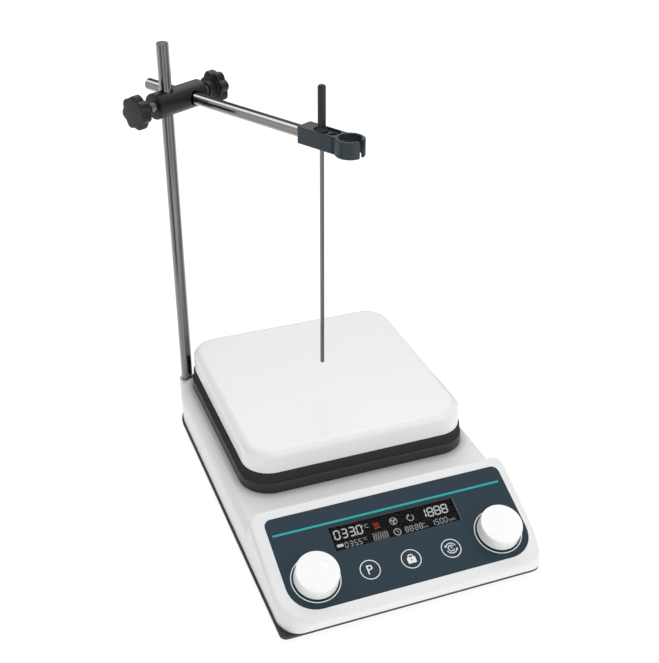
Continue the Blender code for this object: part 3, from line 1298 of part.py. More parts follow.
def make_boss_head():
    length = BOSS_NEAR_END + BOSS_FAR_END
    body = cylinder(BOSS_RADIUS, length, ROUND_STEPS, "X", chamfer=BOSS_CHAMFER)
    head = piece("boss_head", body, BLACK_PLASTIC, boss, (-BOSS_NEAR_END, 0, 0))
    through = 2 * (BOSS_RADIUS + CUT_OVERRUN)
    screw_hole = cylinder(CLAMP_SCREW_RADIUS + TURN_GAP, length, PIN_STEPS, "X")
    rod_hole = cylinder(ROD_RADIUS + ROD_HOLE_PLAY, through)
    bar_hole = cylinder(BAR_RADIUS + BAR_HOLE_PLAY, through, axis="Y")
    cut(
        head,
        tool("rod_hole", rod_hole, boss, (0, 0, -through / 2)),
        tool("bar_hole", bar_hole, boss, (BAR_OFFSET, -through / 2, 0)),
        tool("rod_screw_hole", screw_hole, boss, (-length, 0, 0)),
        tool("bar_screw_hole", screw_hole, boss, (BAR_OFFSET, 0, 0)),
    )
    make_clamp("rod", -1, BOSS_NEAR_END, ROD_RADIUS + SEAT_GAP)
    make_clamp("bar", 1, BOSS_FAR_END, BAR_OFFSET + BAR_RADIUS + SEAT_GAP)


def make_crossbar():
    end = CLIP_START + CLIP_SOCKET_DEPTH - SEAT_GAP
    bar = cylinder(BAR_RADIUS, end + BAR_REAR, SMALL_STEPS, "X", chamfer=BAR_CHAMFER)
    piece("crossbar", bar, STEEL, clip, (-BAR_REAR, 0, 0))


def make_sensor_clip():
    base = -CLIP_HEIGHT / 2
    through = CLIP_HEIGHT + 2 * CUT_OVERRUN
    length = CLIP_RING_X - CLIP_START
    corners = (CLIP_CORNER_RADIUS, 0, 0, CLIP_CORNER_RADIUS)
    arm = block(length, CLIP_WIDTH, CLIP_HEIGHT, corners, CLIP_EDGE_RADIUS, CLIP_EDGE_RADIUS, 2)
    body = piece("sensor_clip", arm, CLIP_BLUE, clip, (CLIP_START + length / 2, 0, base))
    # The ring is lower than the arm by a step too small to see
    ring = cylinder(
        CLIP_RING_RADIUS, CLIP_HEIGHT - 2 * CLIP_RING_STEP, ROUND_STEPS, chamfer=CLIP_EDGE_RADIUS
    )
    fuse(body, tool("clip_ring", ring, clip, (CLIP_RING_X, 0, base + CLIP_RING_STEP)))
    low = base - CUT_OVERRUN
    bore = cylinder(CLIP_RING_RADIUS - CLIP_RING_WALL, through, ROUND_STEPS)
    slot = block(2 * CLIP_RING_RADIUS, CLIP_SLOT_WIDTH, through)
    spare = cylinder(CLIP_SPARE_RADIUS, through)
    probe_hole = cylinder(SHEATH_RADIUS + PROBE_HOLE_PLAY, through, PIN_STEPS)
    socket = cylinder(BAR_RADIUS + SEAT_GAP, CLIP_SOCKET_DEPTH + CUT_OVERRUN, axis="X")
    recess_start = PROBE_X - CLIP_RECESS_HALF_WIDTH
    recess_end = CLIP_SPARE_X + CLIP_RECESS_HALF_WIDTH
    recess = slab(
        stadium(recess_end - recess_start, 2 * CLIP_RECESS_HALF_WIDTH), CLIP_RECESS_DEPTH + CUT_OVERRUN
    )
    top = CLIP_HEIGHT / 2
    cut(
        body,
        tool("ring_bore", bore, clip, (CLIP_RING_X, 0, low)),
        tool("ring_slot", slot, clip, (CLIP_RING_X + CLIP_RING_RADIUS, 0, low)),
        tool("spare_hole", spare, clip, (CLIP_SPARE_X, 0, low)),
        tool("probe_hole", probe_hole, clip, (PROBE_X, 0, low)),
        tool("bar_socket", socket, clip, (CLIP_START - CUT_OVERRUN, 0, 0)),
        tool("clip_recess", recess, clip, ((recess_start + recess_end) / 2, 0, top - CLIP_RECESS_DEPTH)),
    )


def make_probe():
    seat = CLIP_HEIGHT / 2 - CLIP_RECESS_DEPTH + SEAT_GAP
    top = seat + HANDLE_LENGTH
    bore = SHEATH_RADIUS + SEAT_GAP
    handle = [
        (0, top),
        (HANDLE_RADIUS - HANDLE_CAP_HEIGHT, top),
        (HANDLE_RADIUS, top - HANDLE_CAP_HEIGHT),
        (HANDLE_RADIUS, seat + HANDLE_FOOT_HEIGHT),
        (HANDLE_FOOT_RADIUS, seat + HANDLE_FOOT_EDGE),
        (HANDLE_FOOT_RADIUS, seat),
        (bore, seat),
        (bore, seat + SHEATH_SUNK + SEAT_GAP),
        (0, seat + SHEATH_SUNK + SEAT_GAP),
    ]
    piece("probe_handle", turned(handle), BLACK_PLASTIC, clip, (PROBE_X, 0, 0))
    tip = SHEATH_TIP_Z - BOSS_Z
    sheath = [
        (0, seat + SHEATH_SUNK),
        (SHEATH_RADIUS, seat + SHEATH_SUNK),
        (SHEATH_RADIUS, tip + SHEATH_TIP_LENGTH),
        (0, tip),
    ]
    piece("probe_sheath", turned(sheath, PIN_STEPS), STEEL, clip, (PROBE_X, 0, 0))


def centre_on_footprint():
    """Moves the whole model so that the middle of its footprint is the origin."""
    bpy.context.view_layer.update()
    graph = bpy.context.evaluated_depsgraph_get()
    corners = []
    for obj in PARTS.objects:
        solid = obj.evaluated_get(graph)
        corners += [solid.matrix_world @ Vector(corner) for corner in solid.bound_box]
    xs = [corner.x for corner in corners]
    ys = [corner.y for corner in corners]
    bench.location.x = -(min(xs) + max(xs)) / 2
    bench.location.y = -(min(ys) + max(ys)) / 2
    bpy.context.view_layer.update()


def main():
    make_upper_housing()
    make_base_tray()
    make_feet()
    make_heating_head()
    make_stirrer_drive()
    make_power_board()
    make_fascia()
    make_display_and_board()
    make_keys()
    make_dials()
    make_mains_inlet()
    make_rocker()
    make_fuse_and_jack()
    make_support_rod()
    make_boss_head()
    make_crossbar()
    make_sensor_clip()
    make_probe()
    centre_on_footprint()


main()
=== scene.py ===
"""Studio picture of the hotplate stirrer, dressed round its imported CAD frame.

The CAD nodes keep their shapes and places. This script gives each one its finish, swaps a few for finer
pieces in the same place, adds what CAD leaves out (printed marks, lit digits, threads, screws), and sets
the floor, the lights and the camera. Lengths are in metres, and the controls face -Y.
"""

import json
import logging
import math
from collections.abc import Callable, Iterable, Sequence
from dataclasses import dataclass, field
from enum import Enum

import bmesh
import bpy
from mathutils import Matrix, Vector

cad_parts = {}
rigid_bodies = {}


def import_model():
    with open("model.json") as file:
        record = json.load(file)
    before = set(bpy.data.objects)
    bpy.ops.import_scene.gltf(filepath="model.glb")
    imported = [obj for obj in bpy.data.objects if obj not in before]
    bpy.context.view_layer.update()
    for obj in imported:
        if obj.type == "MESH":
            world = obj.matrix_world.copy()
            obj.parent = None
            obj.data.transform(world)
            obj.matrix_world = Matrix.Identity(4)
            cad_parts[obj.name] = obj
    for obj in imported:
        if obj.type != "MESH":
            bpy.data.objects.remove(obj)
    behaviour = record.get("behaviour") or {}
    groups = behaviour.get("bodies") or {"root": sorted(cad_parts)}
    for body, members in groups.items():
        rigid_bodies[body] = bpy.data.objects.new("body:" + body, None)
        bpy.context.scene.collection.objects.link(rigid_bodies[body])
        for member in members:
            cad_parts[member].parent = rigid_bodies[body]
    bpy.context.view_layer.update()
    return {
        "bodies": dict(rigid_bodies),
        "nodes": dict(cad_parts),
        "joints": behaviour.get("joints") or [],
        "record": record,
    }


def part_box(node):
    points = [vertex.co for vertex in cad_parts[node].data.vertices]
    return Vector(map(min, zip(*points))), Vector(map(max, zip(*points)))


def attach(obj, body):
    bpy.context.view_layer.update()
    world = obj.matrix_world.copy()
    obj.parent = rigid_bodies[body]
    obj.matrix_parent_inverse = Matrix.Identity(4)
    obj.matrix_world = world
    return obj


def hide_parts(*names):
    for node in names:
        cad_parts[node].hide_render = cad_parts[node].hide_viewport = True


LOG = logging.getLogger("hotplate_stirrer")

Colour = tuple[float, float, float]
Triple = tuple[float, float, float]
Point = tuple[float, float]
Outline = list[Point]
Swell = Callable[[float, float], float]

INK_THICKNESS = 0.00003
INK_LIFT = 0.00001
WELD_DISTANCE = 0.000002
SMOOTH_ANGLE = math.radians(35)
BEVEL_ANGLE = math.radians(40)
QUARTER_TURN = math.pi / 2

# A noise pattern's usual lowest and highest values
NOISE_LOW = 0.3
NOISE_HIGH = 0.7

# The sockets of a mix node that take and give colours
MIX_FIRST = 6
MIX_SECOND = 7
MIX_RESULT = 2


class Body(Enum):
    """The CAD bodies that pieces of this script ride on."""

    HOUSING = "housing"
    LEFT_DIAL = "left_dial"
    RIGHT_DIAL = "right_dial"
    PROGRAM = "program_button"
    LOCK = "lock_button"
    TIMER = "timer_button"
    ROCKER = "rocker"
    FUSE = "fuse_carrier"
    ROD_CLAMP = "rod_clamp"
    BAR_CLAMP = "bar_clamp"
    CLIP = "clip"


class Axis(Enum):
    """The way that the drawing marks run on a metal piece."""

    ALONG_Z = (0.0, 0.0, 0.0)
    ALONG_BAR = (0.0, math.radians(90), math.radians(-61.4))


class Recipe:
    """A material's node tree, built up one step at a time."""

    def __init__(self, name: str) -> None:
        """Starts a material.

        Args:
            name: The material's name.
        """
        self.material = bpy.data.materials.new(name)
        self.material.use_nodes = True
        self.tree = self.material.node_tree
        self.shader = self.tree.nodes["Principled BSDF"]
        self.place = self.node("ShaderNodeTexCoord").outputs["Object"]
        self.relief_so_far: bpy.types.NodeSocket | None = None

    def node(self, kind: str, **settings: object) -> bpy.types.Node:
        """Adds a node.

        Args:
            kind: The node's type.
            settings: Its properties, by name.

        Returns:
            The new node.
        """
        made = self.tree.nodes.new(kind)
        for name, value in settings.items():
            setattr(made, name, value)
        return made

    def link(self, source: bpy.types.NodeSocket, target: bpy.types.NodeSocket) -> None:
        """Joins an output to an input."""
        self.tree.links.new(source, target)

    def feed(self, target: bpy.types.NodeSocket, value: object) -> None:
        """Sets one input, or joins an output to it.

        Args:
            target: The input.
            value: A number, a colour, or the output that feeds it.
        """
        if isinstance(value, bpy.types.NodeSocket):
            self.link(value, target)
        elif isinstance(value, tuple):
            target.default_value = (*value, 1.0)
        else:
            target.default_value = value

    def set(self, socket: str, value: object) -> None:
        """Sets or feeds one input of the surface shader."""
        self.feed(self.shader.inputs[socket], value)

    def mapped(self, scale: Triple, turn: Triple = (0.0, 0.0, 0.0)) -> bpy.types.NodeSocket:
        """The object's own coordinates, turned and then stretched.

        Args:
            scale: The stretch along each turned axis.
            turn: The turn about X, Y and Z, in radians.

        Returns:
            The mapped coordinates.
        """
        turned = self.node("ShaderNodeMapping")
        turned.inputs["Rotation"].default_value = turn
        stretched = self.node("ShaderNodeMapping")
        stretched.inputs["Scale"].default_value = scale
        self.link(self.place, turned.inputs["Vector"])
        self.link(turned.outputs["Vector"], stretched.inputs["Vector"])
        return stretched.outputs["Vector"]

    def noise(
        self, size: float, detail: float = 2.0, place: bpy.types.NodeSocket | None = None
    ) -> bpy.types.NodeSocket:
        """A cloudy pattern.

        Args:
            size: The size of its clouds, in metres.
            detail: How many finer layers it has.
            place: The coordinates it is drawn in.

        Returns:
            Its value, from 0 to 1.
        """
        made = self.node("ShaderNodeTexNoise")
        made.inputs["Scale"].default_value = 1 / size
        made.inputs["Detail"].default_value = detail
        self.link(self.place if place is None else place, made.inputs["Vector"])
        return made.outputs["Fac"]

    def cells(self, size: float) -> bpy.types.NodeSocket:
        """A pattern of crystal-like cells.

        Args:
            size: The size of one cell, in metres.

        Returns:
            The cells' random grey values.
        """
        made = self.node("ShaderNodeTexVoronoi")
        made.inputs["Scale"].default_value = 1 / size
        self.link(self.place, made.inputs["Vector"])
        return made.outputs["Color"]

    def span(
        self, value: bpy.types.NodeSocket, start: float, end: float, low: float, high: float
    ) -> bpy.types.NodeSocket:
        """Maps a value from one range onto another.

        Args:
            value: The value.
            start: Where its own range starts.
            end: Where its own range ends.
            low: What the start becomes.
            high: What the end becomes.

        Returns:
            The mapped value.
        """
        made = self.node("ShaderNodeMapRange")
        for socket, number in (("From Min", start), ("From Max", end), ("To Min", low), ("To Max", high)):
            made.inputs[socket].default_value = number
        self.link(value, made.inputs["Value"])
        return made.outputs["Result"]

    def spread(self, pattern: bpy.types.NodeSocket, low: float, high: float) -> bpy.types.NodeSocket:
        """Maps a pattern's usual values onto a range, its dark parts to the low end."""
        return self.span(pattern, NOISE_LOW, NOISE_HIGH, low, high)

    def blend(self, share: bpy.types.NodeSocket, first: object, second: object) -> bpy.types.NodeSocket:
        """Mixes two colours.

        Args:
            share: How much of the second one there is.
            first: The colour where the share is 0, or the output that gives it.
            second: The colour where the share is 1, or the output that gives it.

        Returns:
            The mixed colour.
        """
        made = self.node("ShaderNodeMix", data_type="RGBA")
        self.link(share, made.inputs["Factor"])
        self.feed(made.inputs[MIX_FIRST], first)
        self.feed(made.inputs[MIX_SECOND], second)
        return made.outputs[MIX_RESULT]

    def relief(self, height: bpy.types.NodeSocket, depth: float, strength: float = 1.0) -> None:
        """Adds small bumps to the surface, on top of those it has.

        Args:
            height: The pattern of the bumps.
            depth: How high they stand, in metres.
            strength: How much of them shows.
        """
        made = self.node("ShaderNodeBump")
        made.inputs["Distance"].default_value = depth
        made.inputs["Strength"].default_value = strength
        self.link(height, made.inputs["Height"])
        if self.relief_so_far is not None:
            self.link(self.relief_so_far, made.inputs["Normal"])
        self.relief_so_far = made.outputs["Normal"]
        self.link(self.relief_so_far, self.shader.inputs["Normal"])


def tinted(colour: Colour, factor: float) -> Colour:
    """A lighter or darker tone of a colour."""
    return tuple(min(1.0, part * factor) for part in colour)


@dataclass(frozen=True)
class Finish:
    """How one material looks.

    Attributes:
        name: The material's name.
        colour: Its base colour.
        roughness: How dull it is, from 0 to 1.
    """

    name: str
    colour: Colour
    roughness: float

    def build(self) -> bpy.types.Material:
        """Makes the material.

        Returns:
            The finished material.
        """
        recipe = Recipe(self.name)
        recipe.set("Base Color", self.colour)
        recipe.set("Roughness", self.roughness)
        self.detail(recipe)
        return recipe.material

    def detail(self, recipe: Recipe) -> None:
        """Adds what sets this kind of finish apart."""
        raise NotImplementedError


@dataclass(frozen=True)
class Moulding(Finish):
    """Moulded plastic with a spark-eroded grain.

    Attributes:
        grain: The size of the grain, in metres.
        depth: How deep the grain is, in metres.
        coat: How much gloss lies over it.
        tone: How much its tone varies.
        shine: How strongly it mirrors light.
        glow: How much light of its own it adds.
        cloud: The size of the stretches of one tone.
        patch: The size of the stretches of one sheen.
        wave: The length of the slow waves in its surface.
        wave_rise: How many times deeper than the grain they are.
    """

    grain: float = 0.0006
    depth: float = 0.000012
    coat: float = 0.0
    tone: float = 0.03
    shine: float = 0.5
    glow: float = 0.0
    cloud: float = 0.04
    patch: float = 0.012
    wave: float = 0.02
    wave_rise: float = 6.0

    def detail(self, recipe: Recipe) -> None:
        """Adds cloudy tone, uneven sheen, the grain and a slow waviness.

        Args:
            recipe: The material in the making.
        """
        clouds = recipe.noise(self.cloud, 3.0)
        darker, lighter = tinted(self.colour, 1 - self.tone), tinted(self.colour, 1 + self.tone)
        recipe.set("Base Color", recipe.blend(clouds, darker, lighter))
        sheen = recipe.spread(recipe.noise(self.patch), self.roughness * 0.9, self.roughness * 1.12)
        recipe.set("Roughness", sheen)
        recipe.set("Coat Weight", self.coat)
        recipe.set("Coat Roughness", 0.25)
        recipe.set("Specular IOR Level", self.shine)
        recipe.set("Emission Color", self.colour)
        recipe.set("Emission Strength", self.glow)
        recipe.relief(recipe.noise(self.wave, 1.0), self.depth * self.wave_rise, 0.15)
        recipe.relief(recipe.noise(self.grain, 3.0), self.depth, 0.6)


@dataclass(frozen=True)
class PaintedLightMoulding(Moulding):
    """Moulded plastic with painted light above a step: paler there, and less shiny.

    Attributes:
        step: The step's height above the bench.
        painted_light_tone: What the colour above it is times, as painted light.
        upper_shine: How strongly the part above it mirrors light.
        blur: How far from the step the change starts and ends.
    """

    step: float = 0.0
    painted_light_tone: float = 1.7
    upper_shine: float = 0.0
    blur: float = 0.0002

    def detail(self, recipe: Recipe) -> None:
        """Adds the moulding's own detail, then the painted light above the step and its lower shine.

        Args:
            recipe: The material in the making.
        """
        super().detail(recipe)
        split = recipe.node("ShaderNodeSeparateXYZ")
        recipe.link(recipe.place, split.inputs["Vector"])
        above = recipe.span(split.outputs["Z"], self.step - self.blur, self.step + self.blur, 0.0, 1.0)
        # Painted light: the part above the step gets a paler colour, as if light fell on it.
        recipe.set("Base Color", recipe.blend(above, self.colour, tinted(self.colour, self.painted_light_tone)))
        recipe.set("Specular IOR Level", recipe.span(above, 0.0, 1.0, self.shine, self.upper_shine))


@dataclass(frozen=True)
class PaintedShadeMoulding(Moulding):
    """Moulded plastic that is duller where another piece stands close over it.

    Attributes:
        reach: How near a piece has to be.
        closed: How open a place is where the painted shade is darkest.
        painted_shade_tone: What the colour there is times.
    """

    reach: float = 0.006
    closed: float = 0.5
    painted_shade_tone: float = 0.6

    def detail(self, recipe: Recipe) -> None:
        """Adds the moulding's own detail, then the painted shade in close corners.

        Args:
            recipe: The material in the making.
        """
        super().detail(recipe)
        clouds = recipe.shader.inputs["Base Color"].links[0].from_socket
        # Ambient occlusion darkens the base colour: painted shade where pieces stand close over the surface.
        nearness = recipe.node("ShaderNodeAmbientOcclusion")
        nearness.inputs["Distance"].default_value = self.reach
        openness = recipe.span(nearness.outputs["AO"], self.closed, 1.0, 0.0, 1.0)
        recipe.set("Base Color", recipe.blend(openness, tinted(self.colour, self.painted_shade_tone), clouds))


@dataclass(frozen=True)
class Enamel(Finish):
    """Fired enamel with a faint orange-peel surface.

    Attributes:
        cloud: The size of the stretches of one tone.
        patch: The size of the stretches of one sheen.
        peel: The size of the orange peel.
        peel_depth: How deep it is.
    """

    cloud: float = 0.05
    patch: float = 0.018
    peel: float = 0.0012
    peel_depth: float = 0.000002

    def detail(self, recipe: Recipe) -> None:
        """Adds the orange peel, faint clouding and a glassy coat.

        Args:
            recipe: The material in the making.
        """
        clouds = recipe.noise(self.cloud, 3.0)
        recipe.set("Base Color", recipe.blend(clouds, tinted(self.colour, 0.985), self.colour))
        sheen = recipe.spread(recipe.noise(self.patch), self.roughness * 0.96, self.roughness * 1.04)
        recipe.set("Roughness", sheen)
        recipe.set("Coat Weight", 0.25)
        recipe.set("Coat Roughness", 0.2)
        recipe.relief(recipe.noise(self.peel, 1.0), self.peel_depth, 0.15)


@dataclass(frozen=True)
class PolishedBar(Finish):
    """A ground and polished round bar with painted reflections: tones set by the way its surface faces,
    running its whole length.

    Attributes:
        axis: The way the grinding marks run.
        facing: The direction, square to the bar, from which its painted reflections are counted.
        turning: The direction that the count turns towards.
        painted_reflections: Angles in degrees with the tone of the painted reflection there.
        marks: How much the fine grinding marks vary the tone.
        mark_width: How wide they are.
        mark_depth: How deep they are.
        mark_squash: Their width as a share of their length.
    """

    axis: Axis
    facing: Triple
    turning: Triple
    painted_reflections: tuple[Point, ...]
    marks: float = 0.06
    mark_width: float = 0.0009
    mark_depth: float = 0.000002
    mark_squash: float = 0.006

    def around(self, recipe: Recipe) -> bpy.types.NodeSocket:
        """Finds the place round the bar.

        Args:
            recipe: The material in the making.

        Returns:
            The place, from 0 to 1, with 0.5 where the surface faces the counting direction.
        """
        # The surface's facing picks a tone: painted reflections of a studio round the bar.
        normal = recipe.node("ShaderNodeTexCoord").outputs["Normal"]
        angle = recipe.node("ShaderNodeMath", operation="ARCTAN2")
        for direction, side in zip((self.turning, self.facing), angle.inputs):
            part = recipe.node("ShaderNodeVectorMath", operation="DOT_PRODUCT")
            part.inputs[1].default_value = direction
            recipe.link(normal, part.inputs[0])
            recipe.link(part.outputs["Value"], side)
        share = recipe.node("ShaderNodeMath", operation="MULTIPLY_ADD")
        share.inputs[1].default_value = 1 / math.tau
        share.inputs[2].default_value = 0.5
        recipe.link(angle.outputs[0], share.inputs[0])
        return share.outputs[0]

    def painted_reflection_tones(self, recipe: Recipe) -> bpy.types.NodeSocket:
        """Makes the painted reflections that run the bar's whole length.

        Args:
            recipe: The material in the making.

        Returns:
            The steel's colour round the bar, with the painted reflections in it.
        """
        ramp = recipe.node("ShaderNodeValToRGB")
        stops = ramp.color_ramp.elements
        stops.remove(stops[1])
        for number, (angle, tone) in enumerate(self.painted_reflections):
            place = 0.5 + angle / 360
            stop = stops[0] if number == 0 else stops.new(place)
            stop.position = place
            stop.color = (*tinted(self.colour, tone), 1.0)
        recipe.link(self.around(recipe), ramp.inputs["Fac"])
        return ramp.outputs["Color"]

    def detail(self, recipe: Recipe) -> None:
        """Adds the painted reflections, and the grinding marks in tone, sheen and relief.

        Args:
            recipe: The material in the making.
        """
        recipe.set("Metallic", 1.0)
        along = recipe.mapped((1.0, 1.0, self.mark_squash), self.axis.value)
        marks = recipe.noise(self.mark_width, 4.0, along)
        mixed = recipe.node("ShaderNodeMix", data_type="RGBA", blend_type="MULTIPLY")
        mixed.inputs["Factor"].default_value = 1.0
        recipe.link(self.painted_reflection_tones(recipe), mixed.inputs[MIX_FIRST])
        light = recipe.blend(marks, (1 - self.marks,) * 3, (1 + self.marks,) * 3)
        recipe.link(light, mixed.inputs[MIX_SECOND])
        recipe.set("Base Color", mixed.outputs[MIX_RESULT])
        recipe.set("Roughness", recipe.spread(marks, self.roughness * 0.85, self.roughness * 1.25))
        recipe.relief(marks, self.mark_depth, 0.25)


@dataclass(frozen=True)
class PlatedMetal(Finish):
    """Zinc, nickel or brass with faint crystal mottling.

    Attributes:
        crystal: The size of the mottling, in metres.
        scratch: The width of the fine scratches.
        scratch_depth: How deep they are.
        scratch_turn: Their angle about Z, in radians.
    """

    crystal: float = 0.004
    scratch: float = 0.0008
    scratch_depth: float = 0.000004
    scratch_turn: float = 0.6

    def detail(self, recipe: Recipe) -> None:
        """Adds the mottling and fine scratches.

        Args:
            recipe: The material in the making.
        """
        recipe.set("Metallic", 1.0)
        crystals = recipe.cells(self.crystal)
        recipe.set("Base Color", recipe.blend(crystals, tinted(self.colour, 0.88), tinted(self.colour, 1.08)))
        recipe.set("Roughness", recipe.spread(crystals, self.roughness * 0.85, self.roughness * 1.2))
        along = recipe.mapped((1.0, 0.08, 1.0), (0.0, 0.0, self.scratch_turn))
        recipe.relief(recipe.noise(self.scratch, 3.0, along), self.scratch_depth, 0.4)


@dataclass(frozen=True)
class Ink(Finish):
    """Screen-printed ink.

    Attributes:
        pore: The size of its unevenness.
        pore_depth: How deep that is.
    """

    pore: float = 0.0003
    pore_depth: float = 0.000003

    def detail(self, recipe: Recipe) -> None:
        """Adds the faint unevenness of a printed layer.

        Args:
            recipe: The material in the making.
        """
        pores = recipe.noise(self.pore, 2.0)
        recipe.set("Base Color", recipe.blend(pores, tinted(self.colour, 0.93), self.colour))
        recipe.relief(pores, self.pore_depth, 0.3)


@dataclass(frozen=True)
class Lit(Finish):
    """A lit segment behind the window.

    Attributes:
        glow: How bright it is.
        patch: The size of its unevenness.
    """

    glow: float = 1.0
    patch: float = 0.0015

    def detail(self, recipe: Recipe) -> None:
        """Adds the light, a little uneven as a diffuser leaves it.

        Args:
            recipe: The material in the making.
        """
        uneven = recipe.spread(recipe.noise(self.patch, 1.0), self.glow * 0.9, self.glow * 1.05)
        recipe.set("Emission Color", self.colour)
        recipe.set("Emission Strength", uneven)


@dataclass(frozen=True)
class Rubber(Finish):
    """Matt rubber with fine pores and pale dust.

    Attributes:
        dust: The size of the dusty stretches.
        pore: The size of the pores.
        pore_depth: How deep they are.
    """

    dust: float = 0.003
    pore: float = 0.0003
    pore_depth: float = 0.00002

    def detail(self, recipe: Recipe) -> None:
        """Adds pores and dust.

        Args:
            recipe: The material in the making.
        """
        dust = recipe.noise(self.dust, 4.0)
        recipe.set("Base Color", recipe.blend(dust, self.colour, tinted(self.colour, 1.7)))
        recipe.relief(recipe.noise(self.pore, 2.0), self.pore_depth, 0.5)


@dataclass(frozen=True)
class CircuitBoard(Finish):
    """Solder mask over copper tracks.

    Attributes:
        density: How close the tracks lie.
        track: How wide they are beside their pitch.
        rise: How far they stand up under the mask.
    """

    density: float = 110.0
    track: float = 0.04
    rise: float = 0.00003

    def detail(self, recipe: Recipe) -> None:
        """Adds the tracks, lighter where the copper lies under the mask.

        Args:
            recipe: The material in the making.
        """
        tracks = recipe.node("ShaderNodeTexBrick")
        tracks.inputs["Scale"].default_value = self.density
        tracks.inputs["Mortar Size"].default_value = self.track
        for socket, tone in (("Color1", 1.0), ("Color2", 0.8), ("Mortar", 1.9)):
            recipe.feed(tracks.inputs[socket], tinted(self.colour, tone))
        recipe.link(recipe.place, tracks.inputs["Vector"])
        recipe.set("Base Color", tracks.outputs["Color"])
        recipe.set("Coat Weight", 0.3)
        recipe.relief(tracks.outputs["Fac"], self.rise, 0.5)


@dataclass(frozen=True)
class SmokedWindow(Finish):
    """A glossy dark window that lets lit segments through.

    Attributes:
        cover: How much of what lies behind it is hidden, from 0 to 1.
        shine: How strongly it mirrors light.
        smear: The size of the smears on it.
    """

    cover: float = 0.45
    shine: float = 0.15
    smear: float = 0.012

    def detail(self, recipe: Recipe) -> None:
        """Adds see-through darkness, gloss and faint smears.

        Args:
            recipe: The material in the making.
        """
        recipe.set("Alpha", self.cover)
        recipe.set("Specular IOR Level", self.shine)
        smears = recipe.noise(self.smear, 3.0)
        recipe.set("Roughness", recipe.spread(smears, self.roughness * 0.7, self.roughness * 1.5))


@dataclass(frozen=True)
class ClearGlass(Finish):
    """Clear glass.

    Attributes:
        cover: How much of what lies behind it is hidden, from 0 to 1.
        smear: The size of the smears on it.
    """

    cover: float = 0.3
    smear: float = 0.004

    def detail(self, recipe: Recipe) -> None:
        """Adds see-through glass with faint smears."""
        recipe.set("Alpha", self.cover)
        recipe.set("Roughness", recipe.spread(recipe.noise(self.smear), self.roughness, self.roughness * 1.8))


# The housing's white carries painted shade beside the plate's frame and other pieces that stand close.
WHITE_HOUSING = PaintedShadeMoulding(
    "white_housing", (0.84, 0.84, 0.84), 0.38, grain=0.0005, depth=0.000008, coat=0.1, tone=0.012
)
# The dials' small glow is painted light, brightening a part that is no lamp.
WHITE_DIAL = Moulding(
    "white_dial", (0.93, 0.93, 0.93), 0.34, grain=0.0004, depth=0.000005, coat=0.12, tone=0.01, glow=0.07
)
PLATE_ENAMEL = Enamel("plate_enamel", (0.90, 0.90, 0.905), 0.26)
# The frame's paler upper part is painted light.
BAND_PLASTIC = PaintedLightMoulding(
    "band_plastic", (0.026, 0.026, 0.027), 0.42, depth=0.00002, tone=0.15, shine=0.4, step=0.0373
)
TRAY_PLASTIC = Moulding(
    "tray_plastic", (0.035, 0.039, 0.044), 0.5, grain=0.0007, depth=0.00003, tone=0.12, shine=0.35
)
BOSS_BLACK = Moulding(
    "boss_black",
    (0.011, 0.011, 0.011),
    0.34,
    grain=0.0005,
    depth=0.000015,
    coat=0.05,
    tone=0.15,
    shine=0.3,
)
KNOB_BLACK = Moulding(
    "knob_black", (0.012, 0.012, 0.012), 0.4, grain=0.0005, depth=0.00002, tone=0.15, shine=0.35
)
HANDLE_BLACK = Moulding(
    "handle_black", (0.018, 0.018, 0.018), 0.38, grain=0.0004, depth=0.00001, tone=0.12, shine=0.35
)
SOCKET_BLACK = Moulding("socket_black", (0.02, 0.02, 0.021), 0.45, grain=0.0005, depth=0.00002, tone=0.12)
ROCKER_GLOSS = Moulding("rocker_gloss", (0.015, 0.015, 0.016), 0.22, depth=0.000004, coat=0.5, tone=0.1)
CLIP_PLASTIC = Moulding(
    "clip_plastic", (0.022, 0.036, 0.046), 0.4, grain=0.0005, depth=0.00002, tone=0.1, shine=0.4
)
FASCIA_FILM = Moulding("fascia_film", (0.015, 0.036, 0.055), 0.45, grain=0.0003, depth=0.000006, shine=0.25)
MICA_PLATE = Moulding(
    "mica_plate", (0.42, 0.35, 0.25), 0.6, grain=0.001, depth=0.00004, coat=0.2, tone=0.2
)
MODULE_BLACK = Moulding(
    "module_black", (0.003, 0.003, 0.003), 0.6, grain=0.002, depth=0.0000002, tone=0.2, shine=0.1
)
# Painted reflections on the upright and the probe sheath: angles round the rod with the tone it mirrors
# there.
ROD_PAINTED_REFLECTIONS = (
    (-170, 0.28), (-135, 0.16), (-105, 0.26), (-75, 0.32), (-42, 0.26), (-25, 0.20), (-11, 0.17), (-2, 0.17),
    (8, 0.26), (18, 0.28), (27, 0.18), (35, 0.11), (45, 0.13), (57, 0.22), (85, 0.36), (150, 0.22),
)
# Painted reflections and highlights on the crossbar: angles round the bar with the tone it mirrors there.
BAR_PAINTED_REFLECTIONS = (
    (-170, 0.2), (-130, 0.5), (-95, 0.30), (-66, 0.33), (-50, 0.19), (-38, 0.19), (-27, 0.27), (-15, 0.35),
    (-6, 0.46), (3, 0.80), (11, 0.96), (18, 0.75), (24, 0.22), (30, 0.03), (64, 0.02), (110, 0.4),
)
STEEL = (1.0, 0.985, 0.96)
SHEATH_STEEL = (0.9, 0.89, 0.87)
UPRIGHT_FACING = (-0.354, -0.935, 0.0)
UPRIGHT_TURNING = (0.935, -0.354, 0.0)
BAR_FACING = (-0.692, -0.377, 0.616)
BAR_TURNING = (0.541, 0.295, 0.788)
STEEL_UPRIGHT = PolishedBar(
    "steel_upright", STEEL, 0.16, Axis.ALONG_Z, UPRIGHT_FACING, UPRIGHT_TURNING, ROD_PAINTED_REFLECTIONS
)
STEEL_BAR = PolishedBar("steel_bar", STEEL, 0.12, Axis.ALONG_BAR, BAR_FACING, BAR_TURNING, BAR_PAINTED_REFLECTIONS)
